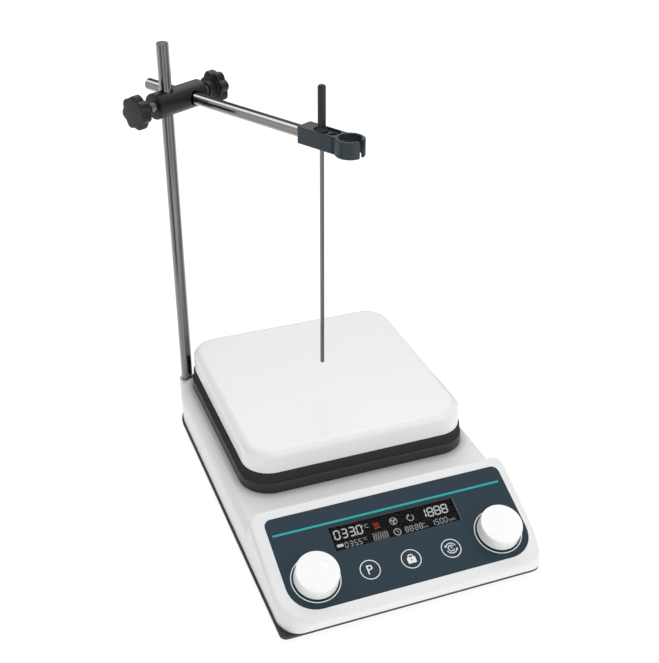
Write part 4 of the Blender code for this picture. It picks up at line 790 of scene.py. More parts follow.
STEEL_SHEATH = PolishedBar(
    "steel_sheath", SHEATH_STEEL, 0.2, Axis.ALONG_Z, UPRIGHT_FACING, UPRIGHT_TURNING, ROD_PAINTED_REFLECTIONS
)
SCREW_STEEL = PlatedMetal("screw_steel", (0.62, 0.62, 0.63), 0.28, crystal=0.002)
THREAD_STEEL = PlatedMetal("thread_steel", (0.22, 0.22, 0.225), 0.34, crystal=0.002)
ZINC_PLATE = PlatedMetal("zinc_plate", (0.56, 0.57, 0.59), 0.38, crystal=0.005)
NICKEL = PlatedMetal("nickel", (0.6, 0.58, 0.54), 0.22, crystal=0.003)
BRASS = PlatedMetal("brass", (0.74, 0.53, 0.22), 0.3, crystal=0.002)
FOOT_RUBBER = Rubber("foot_rubber", (0.02, 0.02, 0.021), 0.85)
BOARD_MASK = CircuitBoard("board_mask", (0.015, 0.12, 0.05), 0.35)
WINDOW_GLASS = SmokedWindow("window_glass", (0.007, 0.006, 0.006), 0.12)
FUSE_GLASS = ClearGlass("fuse_glass", (0.85, 0.9, 0.9), 0.05)
TEAL_INK = Ink("teal_ink", (0.0, 0.40, 0.39), 0.6)
WHITE_INK = Ink("white_ink", (0.86, 0.88, 0.88), 0.4)
DARK_INK = Ink("dark_ink", (0.03, 0.05, 0.07), 0.45)
EDGE_GREY = Ink("edge_grey", (0.11, 0.12, 0.13), 0.5)
# Near-black ink for the painted shadow where the clip's ring meets its arm.
JOIN_SHADOW_INK = Ink("painted_join_shadow", (0.007, 0.009, 0.011), 0.6)
LIT_WHITE = Lit("lit_white", (0.92, 0.95, 0.95), 0.4, glow=1.5)
LIT_DIM = Lit("lit_dim", (0.8, 0.83, 0.84), 0.4, glow=0.9)
LIT_FAINT = Lit("lit_faint", (0.8, 0.83, 0.84), 0.4, glow=0.45)
LIT_RED = Lit("lit_red", (0.95, 0.07, 0.04), 0.4, glow=1.3)

NODE_FINISHES: dict[Finish, tuple[str, ...]] = {
    WHITE_HOUSING: ("upper_housing",),
    WHITE_DIAL: ("left_knob", "right_knob"),
    PLATE_ENAMEL: ("hot_plate",),
    BAND_PLASTIC: ("insulation_frame",),
    TRAY_PLASTIC: ("base_tray",),
    BOSS_BLACK: ("boss_head",),
    KNOB_BLACK: ("rod_clamp_knob", "bar_clamp_knob"),
    HANDLE_BLACK: ("probe_handle",),
    SOCKET_BLACK: (
        "mains_inlet", "rocker_bezel", "fuse_holder", "fuse_cap", "program_switch", "lock_switch",
        "timer_switch",
    ),
    ROCKER_GLOSS: ("power_rocker",),
    CLIP_PLASTIC: ("sensor_clip",),
    FASCIA_FILM: ("control_fascia", "program_key", "lock_key", "timer_key"),
    STEEL_UPRIGHT: ("support_rod",),
    STEEL_BAR: ("crossbar",),
    STEEL_SHEATH: ("probe_sheath",),
    SCREW_STEEL: ("left_shaft", "right_shaft"),
    THREAD_STEEL: ("rod_clamp_screw", "bar_clamp_screw"),
    ZINC_PLATE: (
        "heat_shield", "plate_pillar_1", "plate_pillar_2", "plate_pillar_3", "plate_pillar_4", "motor_body",
        "motor_bracket", "magnet_rotor", "left_encoder_body", "right_encoder_body", "rod_insert",
    ),
    NICKEL: ("probe_socket", "drive_magnet_1", "drive_magnet_2"),
    BRASS: ("live_pin", "neutral_pin", "earth_pin", "left_encoder_rotor", "right_encoder_rotor"),
    MICA_PLATE: ("heater_disc",),
    FOOT_RUBBER: ("foot_1", "foot_2", "foot_3", "foot_4"),
    BOARD_MASK: ("control_board", "power_board"),
    WINDOW_GLASS: ("display_window",),
    MODULE_BLACK: ("display_module",),
    FUSE_GLASS: ("fuse",),
}

SOFT_EDGES: dict[str, float] = {
    "control_fascia": 0.0002,
    "program_key": 0.00015,
    "lock_key": 0.00015,
    "timer_key": 0.00015,
    "base_tray": 0.0004,
    "mains_inlet": 0.0003,
    "rocker_bezel": 0.0003,
    "power_rocker": 0.0003,
    "fuse_holder": 0.0003,
    "fuse_cap": 0.0002,
    "probe_socket": 0.0002,
    "boss_head": 0.0002,
    "probe_handle": 0.0002,
}


@dataclass
class Palette:
    """The materials made so far, one for each finish."""

    made: dict[Finish, bpy.types.Material] = field(default_factory=dict)

    def material(self, finish: Finish) -> bpy.types.Material:
        """Gives a finish's material, made once.

        Args:
            finish: The finish.

        Returns:
            Its material.
        """
        if finish not in self.made:
            self.made[finish] = finish.build()
        return self.made[finish]


def added(name: str, data: bpy.types.ID) -> bpy.types.Object:
    """Adds an object to the scene.

    Args:
        name: Its name.
        data: Its mesh, lettering, light or camera.

    Returns:
        The object.
    """
    obj = bpy.data.objects.new(name, data)
    bpy.context.scene.collection.objects.link(obj)
    return obj


def mesh_from(build: bmesh.types.BMesh, name: str, smooth: bool = True) -> bpy.types.Mesh:
    """Turns a bmesh into a mesh with smooth round stretches.

    Args:
        build: The bmesh, which is freed.
        name: The mesh's name.
        smooth: Whether shallow edges are shaded smooth.

    Returns:
        The mesh.
    """
    bmesh.ops.recalc_face_normals(build, faces=build.faces)
    mesh = bpy.data.meshes.new(name)
    build.to_mesh(mesh)
    build.free()
    if smooth:
        mesh.shade_smooth()
        mesh.set_sharp_from_angle(angle=SMOOTH_ANGLE)
    return mesh


def lathe(profile: Sequence[Point], steps: int, swell: Swell | None = None) -> bmesh.types.BMesh:
    """Turns a profile about Z.

    Args:
        profile: Points of radius and height, from the axis to the axis.
        steps: How many facets the turn has.
        swell: What each point's radius is times, by its angle and radius.

    Returns:
        The turned solid.
    """
    build = bmesh.new()
    rings = []
    for radius, height in profile:
        if radius == 0:
            rings.append([build.verts.new((0, 0, height))])
            continue
        ring = []
        for i in range(steps):
            angle = math.tau * i / steps
            reach = radius if swell is None else radius * swell(angle, radius)
            ring.append(build.verts.new((reach * math.cos(angle), reach * math.sin(angle), height)))
        rings.append(ring)
    for upper, lower in zip(rings, rings[1:]):
        for i in range(steps):
            corners = [upper[i % len(upper)], upper[(i + 1) % len(upper)]]
            corners += [lower[(i + 1) % len(lower)], lower[i % len(lower)]]
            distinct = list(dict.fromkeys(corners))
            if len(distinct) > 2:
                build.faces.new(distinct)
    return build


def ring_spot(centre: Point, radius: float, angle: float) -> Point:
    """The point of a ring at an angle in degrees."""
    turn = math.radians(angle)
    return (centre[0] + radius * math.cos(turn), centre[1] + radius * math.sin(turn))


def arc(centre: Point, radius: float, start: float, end: float, steps: int) -> Outline:
    """Points along an arc.

    Args:
        centre: Its centre.
        radius: Its radius.
        start: Its first angle, in degrees.
        end: Its last angle, in degrees.
        steps: How many stretches it has.

    Returns:
        The points.
    """
    return [ring_spot(centre, radius, start + (end - start) * i / steps) for i in range(steps + 1)]


def band(centre: Point, radius: float, width: float, start: float = 0, end: float = 360) -> Outline:
    """The outline of a curved stroke.

    Args:
        centre: The arc's centre.
        radius: The radius of the stroke's middle.
        width: The stroke's width.
        start: The arc's first angle, in degrees.
        end: Its last angle, in degrees.

    Returns:
        The outline.
    """
    steps = max(6, int(abs(end - start) / 6))
    outer = arc(centre, radius + width / 2, start, end, steps)
    return outer + arc(centre, radius - width / 2, end, start, steps)


def moved(outline: Iterable[Point], where: Point) -> Outline:
    """An outline moved by a place's two measures."""
    return [(where[0] + x, where[1] + y) for x, y in outline]


def stroke(first: Point, last: Point, width: float) -> Outline:
    """The outline of a straight stroke.

    Args:
        first: The middle of one end.
        last: The middle of the other end.
        width: The stroke's width.

    Returns:
        The outline.
    """
    along = Vector(last) - Vector(first)
    side = Vector((-along.y, along.x)).normalized() * width / 2
    corners = (Vector(first) + side, Vector(first) - side, Vector(last) - side, Vector(last) + side)
    return [(corner.x, corner.y) for corner in corners]


def box_outline(centre: Point, width: float, height: float, radius: float = 0.0) -> Outline:
    """The outline of a rectangle with round corners.

    Args:
        centre: Its centre.
        width: Its width.
        height: Its height.
        radius: The radius of its corners, or 0 for sharp ones.

    Returns:
        The outline.
    """
    if radius == 0:
        half = (width / 2, height / 2)
        signs = ((-1, -1), (1, -1), (1, 1), (-1, 1))
        return [(centre[0] + sx * half[0], centre[1] + sy * half[1]) for sx, sy in signs]
    points: Outline = []
    for sx, sy, start in ((1, 1, 0), (-1, 1, 90), (-1, -1, 180), (1, -1, 270)):
        corner = (centre[0] + sx * (width / 2 - radius), centre[1] + sy * (height / 2 - radius))
        points += arc(corner, radius, start, start + 90, 4)
    return points


def raised(outlines: Iterable[Outline], thickness: float) -> bmesh.types.BMesh:
    """Flat shapes with a small thickness.

    Args:
        outlines: The shapes' outlines.
        thickness: How thick they are.

    Returns:
        The solids, standing on their base.
    """
    build = bmesh.new()
    for outline in outlines:
        face = build.faces.new([build.verts.new((x, y, 0)) for x, y in outline])
        rise = bmesh.ops.extrude_face_region(build, geom=[face])["geom"]
        tops = [item for item in rise if isinstance(item, bmesh.types.BMVert)]
        bmesh.ops.translate(build, vec=(0, 0, thickness), verts=tops)
    return build


@dataclass
class Workshop:
    """Makes the pieces, and hands each to the CAD body that it rides on."""

    palette: Palette

    def place(
        self,
        name: str,
        mesh: bpy.types.Mesh,
        where: Matrix,
        body: Body,
        finish: Finish,
        slot: str | None = None,
    ) -> bpy.types.Object:
        """Adds one piece.

        Args:
            name: The piece's name.
            mesh: Its mesh.
            where: Its place in the row frame.
            body: The CAD body it rides on.
            finish: Its finish.
            slot: Not used.

        Returns:
            The piece.
        """
        obj = added(name, mesh)
        obj.matrix_world = where
        mesh.materials.append(self.palette.material(finish))
        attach(obj, body.value)
        LOG.info("%s rides on %s, in %s", name, body.value, finish.name)
        return obj

    def print_marks(
        self, name: str, outlines: Iterable[Outline], where: Matrix, body: Body, finish: Finish
    ) -> None:
        """Adds printed or lit marks just above the face whose frame is given."""
        mesh = mesh_from(raised(outlines, INK_THICKNESS), name, smooth=False)
        self.place(name, mesh, where @ Matrix.Translation((0, 0, INK_LIFT)), body, finish)


def soften(obj: bpy.types.Object, edge: float | None) -> None:
    """Welds a shell's corners, rounds its sharp edges and keeps its flat faces flat.

    Args:
        obj: The shell.
        edge: The width of its rounded edges, or None for edges left as they are.
    """
    weld = obj.modifiers.new("weld", "WELD")
    weld.merge_threshold = WELD_DISTANCE
    if edge is not None:
        soft = obj.modifiers.new("soft_edge", "BEVEL")
        soft.width = edge
        soft.segments = 2
        soft.limit_method = "ANGLE"
        soft.angle_limit = BEVEL_ANGLE
    flat = obj.modifiers.new("flat_faces", "WEIGHTED_NORMAL")
    flat.keep_sharp = True
    flat.weight = 80


def dress_nodes(nodes: dict[str, bpy.types.Object], palette: Palette) -> None:
    """Gives each CAD node its finish, welded smooth shading, and a soft edge where it has sharp ones.

    Args:
        nodes: The CAD nodes by name.
        palette: The materials.
    """
    for finish, names in NODE_FINISHES.items():
        for name in names:
            obj = nodes[name]
            obj.data.materials.clear()
            obj.data.materials.append(palette.material(finish))
            LOG.info("%s keeps its CAD shape, in %s", name, finish.name)
    for name, obj in nodes.items():
        soften(obj, SOFT_EDGES.get(name))


@dataclass(frozen=True)
class DrawnShell:
    """A shell as the CAD has it, but with its right side drawn in to the photograph's outline.

    Attributes:
        node: The CAD node that it replaces.
        finish: Its finish.
        corner: The radius that its sharper right front corner is rounded to, if it has one.
        sharp_corner: The radius of that corner on the CAD node.
        shift: How far the right side comes in.
        margin: How wide the stretch beside the wall is that comes in too.
        corner_shift: How much further the foot of the right front corner comes in.
        corner_margin: How wide the stretch beside that corner is that comes in too.
        corner_start: How far behind the front the corner's own shift starts.
        corner_end: How far behind the front it is whole.
        corner_height: The height above which it is smallest.
        top_share: The share of it that is left there.
        left_shift: How far the foot of the left wall comes in.
        left_height: The height over which the left wall leans out again.
    """

    node: str
    finish: Finish
    corner: float | None = None
    sharp_corner: float = 0.004
    shift: float = 0.0026
    margin: float = 0.0070
    corner_shift: float = 0.0024
    corner_margin: float = 0.0110
    corner_start: float = 0.034
    corner_end: float = 0.014
    corner_height: float = 0.025
    top_share: float = 0.6
    left_shift: float = 0.0
    left_height: float = 0.020

    @staticmethod
    def eased(value: float) -> float:
        """A share from 0 to 1 that starts and ends softly."""
        share = min(max(value, 0.0), 1.0)
        return share * share * (3 - 2 * share)

    def drawn_in(self, place: Vector, low: Vector, high: Vector) -> float:
        """How far left one place of the shell moves.

        Args:
            place: The place.
            low: The low corner of the CAD node's box.
            high: The high corner of that box.

        Returns:
            The distance.
        """
        side = self.shift * self.eased((place.x - high.x + self.margin) / self.margin)
        near_corner = self.eased((place.x - high.x + self.corner_margin) / self.corner_margin)
        behind = place.y - low.y
        near_front = self.eased((self.corner_start - behind) / (self.corner_start - self.corner_end))
        height = 1 - (1 - self.top_share) * min(place.z / self.corner_height, 1.0)
        near_left = self.eased((low.x + self.margin - place.x) / self.margin)
        left = self.left_shift * near_left * (1 - min((place.z - low.z) / self.left_height, 1.0))
        return side + self.corner_shift * near_corner * near_front * height - left

    def round_corner(self, mesh: bpy.types.Mesh, low: Vector, high: Vector) -> None:
        """Spreads the sharp corner's arc over the wider one.

        Args:
            mesh: The shell's mesh.
            low: The low corner of the CAD node's box.
            high: The high corner of that box.
        """
        sharp_centre = Vector((high.x - self.sharp_corner, low.y + self.sharp_corner))
        wide_centre = Vector((high.x - self.corner, low.y + self.corner))
        for vertex in mesh.vertices:
            spot = vertex.co.xy - sharp_centre
            in_corner = spot.x > -WELD_DISTANCE and spot.y < WELD_DISTANCE
            if in_corner and spot.length > self.sharp_corner / 4:
                reach = spot.length + self.corner - self.sharp_corner
                vertex.co.xy = wide_centre + spot.normalized() * reach

    def build(self, shop: Workshop, source: bpy.types.Object) -> None:
        """Adds the shell in place of the CAD node.

        Args:
            shop: What makes the pieces.
            source: The CAD node.
        """
        low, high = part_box(self.node)
        mesh = source.data.copy()
        mesh.materials.clear()
        if self.corner is not None:
            self.round_corner(mesh, low, high)
        for vertex in mesh.vertices:
            vertex.co.x -= self.drawn_in(vertex.co, low, high)
        name = f"{self.node}_shell"
        piece = shop.place(name, mesh, Matrix.Identity(4), Body.HOUSING, self.finish, self.node)
        soften(piece, SOFT_EDGES.get(self.node))
        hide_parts(self.node)


@dataclass(frozen=True)
class Panel:
    """The fascia's upper face and the layout on it.

    Attributes:
        frame: The top edge's middle, with X across, Y up the slope and Z out of the face.
        seat_gap: The gap between the fascia and the edge of its seat.
        dial_spacing: From one dial's middle to the other's.
        dial_drop: How far down the slope the dials are.
        key_spacing: From one key's middle to the next.
        key_drop: How far down the slope the keys are.
        key_proud: How far the keys stand above the face.
        module_depth: How far below the face the lit segments are.
    """

    frame: Matrix
    seat_gap: float = 0.0003
    dial_spacing: float = 0.1108
    dial_drop: float = 0.0411
    key_spacing: float = 0.0246
    key_drop: float = 0.04387
    key_proud: float = 0.0003
    module_depth: float = 0.0018

    @classmethod
    def of(cls, fascia: bpy.types.Object) -> "Panel":
        """Finds the panel's frame from the fascia's own mesh.

        Args:
            fascia: The fascia's CAD node.

        Returns:
            The panel.
        """
        facing = [face for face in fascia.data.polygons if face.normal.z > 0.8]
        normal = max(facing, key=lambda face: face.area).normal.copy()
        across = Vector((1, 0, 0))
        up = normal.cross(across)
        points = [vertex.co for vertex in fascia.data.vertices]
        level = max(normal.dot(point) for point in points)
        top = [point for point in points if level - normal.dot(point) < cls.seat_gap / 10]
        middle = (min(point.x for point in top) + max(point.x for point in top)) / 2
        rise = max(up.dot(point) for point in top) + cls.seat_gap
        origin = across * middle + up * rise + normal * level
        frame = Matrix((across, up, normal)).transposed().to_4x4()
        frame.translation = origin
        return cls(frame)

    def at(self, x: float, drop: float, lift: float = 0.0) -> Matrix:
        """The frame of a place so far right of the middle, down the slope and above the face."""
        return self.frame @ Matrix.Translation((x, -drop, lift))


SEGMENTS: dict[str, str] = {
    "0": "abcdef",
    "1": "bc",
    "2": "abged",
    "3": "abgcd",
    "4": "fgbc",
    "5": "afgcd",
    "6": "afgedc",
    "7": "abc",
    "8": "abcdefg",
    "9": "abcdfg",
}


@dataclass(frozen=True)
class Readout:
    """A row of slanted seven-segment digits.

    Attributes:
        left: Where it starts, right of the panel's middle.
        top: How far down the slope its top is.
        width: One digit's width.
        height: The digits' height.
        gap: The gap between digits.
        bar: A segment's thickness.
        lean: How far a digit's top leans over.
    """

    left: float
    top: float
    width: float
    height: float
    gap: float
    bar: float
    lean: float = 0.0006

    def segment(self, name: str) -> Outline:
        """The outline of one segment in a digit's own cell, Y up from its foot.

        Args:
            name: The segment's letter, a to g.

        Returns:
            The outline.
        """
        half, clear = self.bar / 2, self.bar * 0.12
        left, right = half, self.width - half
        low, middle, high = half, self.height / 2, self.height - half
        ends = {
            "a": ((left, high), (right, high)),
            "b": ((right, middle), (right, high)),
            "c": ((right, low), (right, middle)),
            "d": ((left, low), (right, low)),
            "e": ((left, low), (left, middle)),
            "f": ((left, middle), (left, high)),
            "g": ((left, middle), (right, middle)),
        }
        first, last = (Vector(end) for end in ends[name])
        along = (last - first).normalized()
        side = Vector((-along.y, along.x)) * half
        first, last = first + along * clear, last - along * clear
        points = (
            first, first + along * half + side, last - along * half + side, last,
            last - along * half - side, first + along * half - side,
        )
        return [(point.x, point.y) for point in points]

    def outlines(self, text: str) -> list[Outline]:
        """The outlines of a reading.

        Args:
            text: Digits, and points or colons between them.

        Returns:
            The outlines, in the panel's frame.
        """
        made: list[Outline] = []
        x = self.left
        foot = -(self.top + self.height)
        for character in text:
            if character in ".:":
                spots = (0.0,) if character == "." else (self.height * 0.25, self.height * 0.65)
                for spot in spots:
                    centre = (x - self.gap / 2, foot + spot + self.bar / 2)
                    made.append(box_outline(centre, self.bar, self.bar))
                x += self.bar if character == ":" else 0.0
                continue
            for name in SEGMENTS[character]:
                shape = self.segment(name)
                made.append([(x + px + self.lean * py / self.height, foot + py) for px, py in shape])
            x += self.width + self.gap
        return made


def letters(text: str, size: float, where: Point) -> list[Outline]:
    """Small plain letters, such as a unit, as outlines without holes filled.

    Args:
        text: The letters.
        size: Their height.
        where: The left end of their base line.

    Returns:
        One outline for each triangle of the letters.
    """
    curve = bpy.data.curves.new("letters", "FONT")
    curve.body = text
    curve.size = size
    obj = added("letters", curve)
    graph = bpy.context.evaluated_depsgraph_get()
    mesh = bpy.data.meshes.new_from_object(obj.evaluated_get(graph))
    bpy.data.objects.remove(obj, do_unlink=True)
    bpy.data.curves.remove(curve)
    made = []
    for face in mesh.polygons:
        made.append(moved((mesh.vertices[index].co.xy for index in face.vertices), where))
    bpy.data.meshes.remove(mesh)
    return made


@dataclass(frozen=True)
class PowerBars:
    """The row of bars between two lines that shows the stirring power.

    Attributes:
        left: Where the row starts, right of the panel's middle.
        right: Where it ends.
        top: Its upper line, up the slope from the panel's top edge.
        foot: Its lower line.
        pitch: From one bar to the next.
        width: A bar's width.
        lean: How far a bar's ends lean to each side.
        clear: The gap between a bar and the lines.
        line: The lines' width.
        count: How many bars there are.
    """

    left: float = -0.0154
    right: float = -0.0063
    top: float = -0.0229
    foot: float = -0.0277
    pitch: float = 0.00138
    width: float = 0.00085
    lean: float = 0.0002
    clear: float = 0.0005
    line: float = 0.0003
    count: int = 7

    def outlines(self) -> list[Outline]:
        """Draws the row.

        Returns:
            The outlines, in the panel's frame.
        """
        levels = (self.top, self.foot)
        made = [stroke((self.left, level), (self.right, level), self.line) for level in levels]
        for number in range(self.count):
            x = self.left + self.pitch / 3 + number * self.pitch
            low, high = (x - self.lean, self.foot + self.clear), (x + self.lean, self.top - self.clear)
            made.append(stroke(low, high, self.width))
        return made


@dataclass(frozen=True)
class HeatSign:
    """The sign that the heater is at work: three waves over a plate.

    Attributes:
        left: The plate's left end.
        right: Its right end.
        plate: Its height in the panel's frame.
        thickness: How thick it is drawn.
        waves: The waves' middles.
        swing: How far each bend's centre lies beside the wave.
        bend: A bend's radius.
        low_bend: The height of the lower bends.
        high_bend: The height of the upper ones.
        width: The waves' width.
    """

    left: float = -0.0127
    right: float = -0.0093
    plate: float = -0.0199
    thickness: float = 0.0006
    waves: Triple = (-0.0122, -0.0110, -0.0098)
    swing: float = 0.0004
    bend: float = 0.0006
    low_bend: float = -0.0184
    high_bend: float = -0.0172
    width: float = 0.0005

    def outlines(self) -> list[Outline]:
        """Draws the sign.

        Returns:
            The outlines, in the panel's frame.
        """
        made = [stroke((self.left, self.plate), (self.right, self.plate), self.thickness)]
        for x in self.waves:
            made.append(band((x - self.swing, self.low_bend), self.bend, self.width, -60, 60))
            made.append(band((x + self.swing, self.high_bend), self.bend, self.width, 120, 240))
        return made


@dataclass(frozen=True)
class Symbols:
    """The fan, rotation and clock symbols.

    Attributes:
        width: The width of thin strokes.
        ring_width: The width of the arrow and of the clock's ring.
        fan: The fan's middle.
        fan_ring: The radius of its ring.
        fan_hub: The radius of its hub.
        blade_root: Where its blades start.
        blade_tip: Where they end.
        turn: The middle of the rotation arrow.
        turn_ring: Its radius.
        turn_head_angle: Where its head is, in degrees.
        turn_head: The head's corners, about that place.
        clock: The clock's middle.
        clock_ring: The radius of its ring.
        minute_hand: From its middle to the long hand's tip.
        hour_hand: From its middle to the short hand's tip.
    """

    width: float = 0.0005
    ring_width: float = 0.00065
    fan: Point = (-0.0005, -0.0183)
    fan_ring: float = 0.0021
    fan_hub: float = 0.0004
    blade_root: float = 0.0006
    blade_tip: float = 0.0019
    turn: Point = (0.0099, -0.0187)
    turn_ring: float = 0.0019
    turn_head_angle: float = 105.0
    turn_head: tuple[Point, ...] = ((-0.0011, -0.0005), (0.0004, -0.0011), (0.0003, 0.0009))
    clock: Point = (-0.0006, -0.0253)
    clock_ring: float = 0.0020
    minute_hand: Point = (0.0, 0.0013)
    hour_hand: Point = (0.0010, -0.0004)

    def outlines(self) -> list[Outline]:
        """Draws the symbols.

        Returns:
            The outlines, in the panel's frame.
        """
        made = [band(self.fan, self.fan_ring, self.width), band(self.fan, self.fan_hub, self.width)]
        for angle in (30, 150, 270):
            root = ring_spot(self.fan, self.blade_root, angle)
            made.append(stroke(root, ring_spot(self.fan, self.blade_tip, angle), self.width * 2))
        made.append(band(self.turn, self.turn_ring, self.ring_width, 120, 415))
        made.append(moved(self.turn_head, ring_spot(self.turn, self.turn_ring, self.turn_head_angle)))
        made.append(band(self.clock, self.clock_ring, self.ring_width))
        for hand in (self.minute_hand, self.hour_hand):
            made.append(stroke(self.clock, moved([hand], self.clock)[0], self.width))
        return made


@dataclass(frozen=True)
class Unit:
    """A unit beside a reading.

    Attributes:
        text: Its letters.
        size: Their height.
        where: The left end of their base line, in the panel's frame.
    """

    text: str
    size: float
    where: Point


UNITS = (
    Unit("°C", 0.0036, (-0.0193, -0.0183)),
    Unit("°C", 0.0026, (-0.0218, -0.0253)),
    Unit("hr", 0.0018, (0.0154, -0.0247)),
    Unit("min", 0.0018, (0.0154, -0.0269)),
    Unit("rpm", 0.0026, (0.0311, -0.0267)),
)


@dataclass(frozen=True)
class Display:
    """The lit segments on the display module, seen through the window.

    Attributes:
        panel: The panel that it shows through.
        heat: The plate's temperature.
        thousands: The first digit of the speed.
        speed: Its other digits.
        set_heat: The set temperature.
        set_time: The set time.
        set_speed: The set speed.
        mark: The middle of the bright mark beside the set temperature.
        mark_width: Its width.
        mark_height: Its height.
        mark_corner: The radius of its corners.
    """

    panel: Panel
    heat: Readout = Readout(-0.0369, 0.0153, 0.0037, 0.0059, 0.00083, 0.00075, 0.0004)
    thousands: Readout = Readout(0.0158, 0.0154, 0.0039, 0.0059, 0.0005, 0.0008, 0.0004)
    speed: Readout = Readout(0.0205, 0.0154, 0.0039, 0.0059, 0.00052, 0.00075, 0.0004)
    set_heat: Readout = Readout(-0.0327, 0.0235, 0.0021, 0.0037, 0.00064, 0.00048, 0.0003)
    set_time: Readout = Readout(0.0040, 0.0234, 0.0022, 0.0037, 0.00055, 0.00048, 0.0003)
    set_speed: Readout = Readout(0.0202, 0.0235, 0.00215, 0.0037, 0.00057, 0.00048, 0.0003)
    mark: Point = (-0.03515, -0.0249)
    mark_width: float = 0.0038
    mark_height: float = 0.0018
    mark_corner: float = 0.0003

    def readings(self) -> list[Outline]:
        """Draws the large numbers and the bright mark."""
        made = self.heat.outlines("033.0") + self.thousands.outlines("1") + self.speed.outlines("888")
        return made + [box_outline(self.mark, self.mark_width, self.mark_height, self.mark_corner)]

    def set_values(self) -> list[Outline]:
        """Draws the dimmer row of set values, and the units.

        Returns:
            The outlines, in the panel's frame.
        """
        made = self.set_heat.outlines("035.5") + self.set_time.outlines("88:88")
        made += self.set_speed.outlines("1500")
        for unit in UNITS:
            made += letters(unit.text, unit.size, unit.where)
        return made

    def build(self, shop: Workshop) -> None:
        """Adds the lit pieces.

        Args:
            shop: What makes the pieces.
        """
        face = self.panel.at(0, 0, -self.panel.module_depth)
        shop.print_marks("lit_readings", self.readings(), face, Body.HOUSING, LIT_WHITE)
        shop.print_marks("lit_set_values", self.set_values(), face, Body.HOUSING, LIT_DIM)
        shop.print_marks("lit_bars", PowerBars().outlines(), face, Body.HOUSING, LIT_FAINT)
        shop.print_marks("lit_symbols", Symbols().outlines(), face, Body.HOUSING, LIT_DIM)
        shop.print_marks("lit_heat_symbol", HeatSign().outlines(), face, Body.HOUSING, LIT_RED)


@dataclass(frozen=True)
class KeySigns:
    """The signs on the three keys, each drawn about its key's middle.

    Attributes:
        letter_size: The height of the capital letter.
        letter_place: The left end of its base line.
        lock_middle: The middle of the padlock's case.
        lock_width: The case's width.
        lock_height: The case's height.
        lock_corner: The radius of its corners.
        shackle_level: The height at which the shackle's bow starts.
        shackle_foot: The height at which its legs end.
        shackle_radius: The bow's radius.
        shackle_width: How thick it is drawn.
        keyhole_middle: The height of the keyhole's round end.
        keyhole_top: The height at which its slot starts.
        keyhole_foot: The height at which its slot ends.
        keyhole_width: How wide it is.
        arrow_radius: The radius of the timer's two arrows.
        arrow_width: How thick they are drawn.
        arrow_heads: The corners of their heads.
        face_radius: The radius of the clock face inside them.
        hand_width: How thick its hands are drawn.
        long_hand: The tip of its long hand.
        short_hand: The tip of its short hand.
    """

    letter_size: float = 0.0078
    letter_place: Point = (-0.0023, -0.0027)
    lock_middle: Point = (0.0, -0.0009)
    lock_width: float = 0.0050
    lock_height: float = 0.0037
    lock_corner: float = 0.0004
    shackle_level: float = 0.0011
    shackle_foot: float = 0.0007
    shackle_radius: float = 0.0014
    shackle_width: float = 0.0007
    keyhole_middle: float = -0.0004
    keyhole_top: float = -0.0006
    keyhole_foot: float = -0.0015
    keyhole_width: float = 0.0004
    arrow_radius: float = 0.0031
    arrow_width: float = 0.0005
    arrow_heads: tuple[tuple[Point, ...], ...] = (
        ((-0.0035, 0.0010), (-0.0021, 0.0013), (-0.0032, 0.0026)),
        ((0.0036, -0.0005), (0.0022, -0.0009), (0.0033, -0.0022)),
    )
    face_radius: float = 0.0018
    hand_width: float = 0.0004
    long_hand: Point = (0.0, 0.0013)
    short_hand: Point = (0.0010, 0.0)

    def program(self) -> list[Outline]:
        """A plain capital letter."""
        return letters("P", self.letter_size, self.letter_place)

    def lock(self) -> list[Outline]:
        """Draws a padlock.

        Returns:
            The outlines.
        """
        made = [box_outline(self.lock_middle, self.lock_width, self.lock_height, self.lock_corner)]
        made.append(band((0, self.shackle_level), self.shackle_radius, self.shackle_width, 0, 180))
        for x in (-self.shackle_radius, self.shackle_radius):
            made.append(stroke((x, self.shackle_level), (x, self.shackle_foot), self.shackle_width))
        return made

    def keyhole(self) -> list[Outline]:
        """Draws the padlock's keyhole."""
        slot = stroke((0, self.keyhole_top), (0, self.keyhole_foot), self.keyhole_width)
        return [band((0, self.keyhole_middle), self.keyhole_width / 2, self.keyhole_width), slot]

    def timer(self) -> list[Outline]:
        """Draws a clock face inside a circular arrow.

        Returns:
            The outlines.
        """
        centre = (0.0, 0.0)
        made = []
        for (start, end), head in zip(((150, 20), (200, 340)), self.arrow_heads):
            made += [band(centre, self.arrow_radius, self.arrow_width, start, end), list(head)]
        made.append(band(centre, self.face_radius, self.arrow_width, 30, 330))
        return made + [stroke(centre, tip, self.hand_width) for tip in (self.long_hand, self.short_hand)]


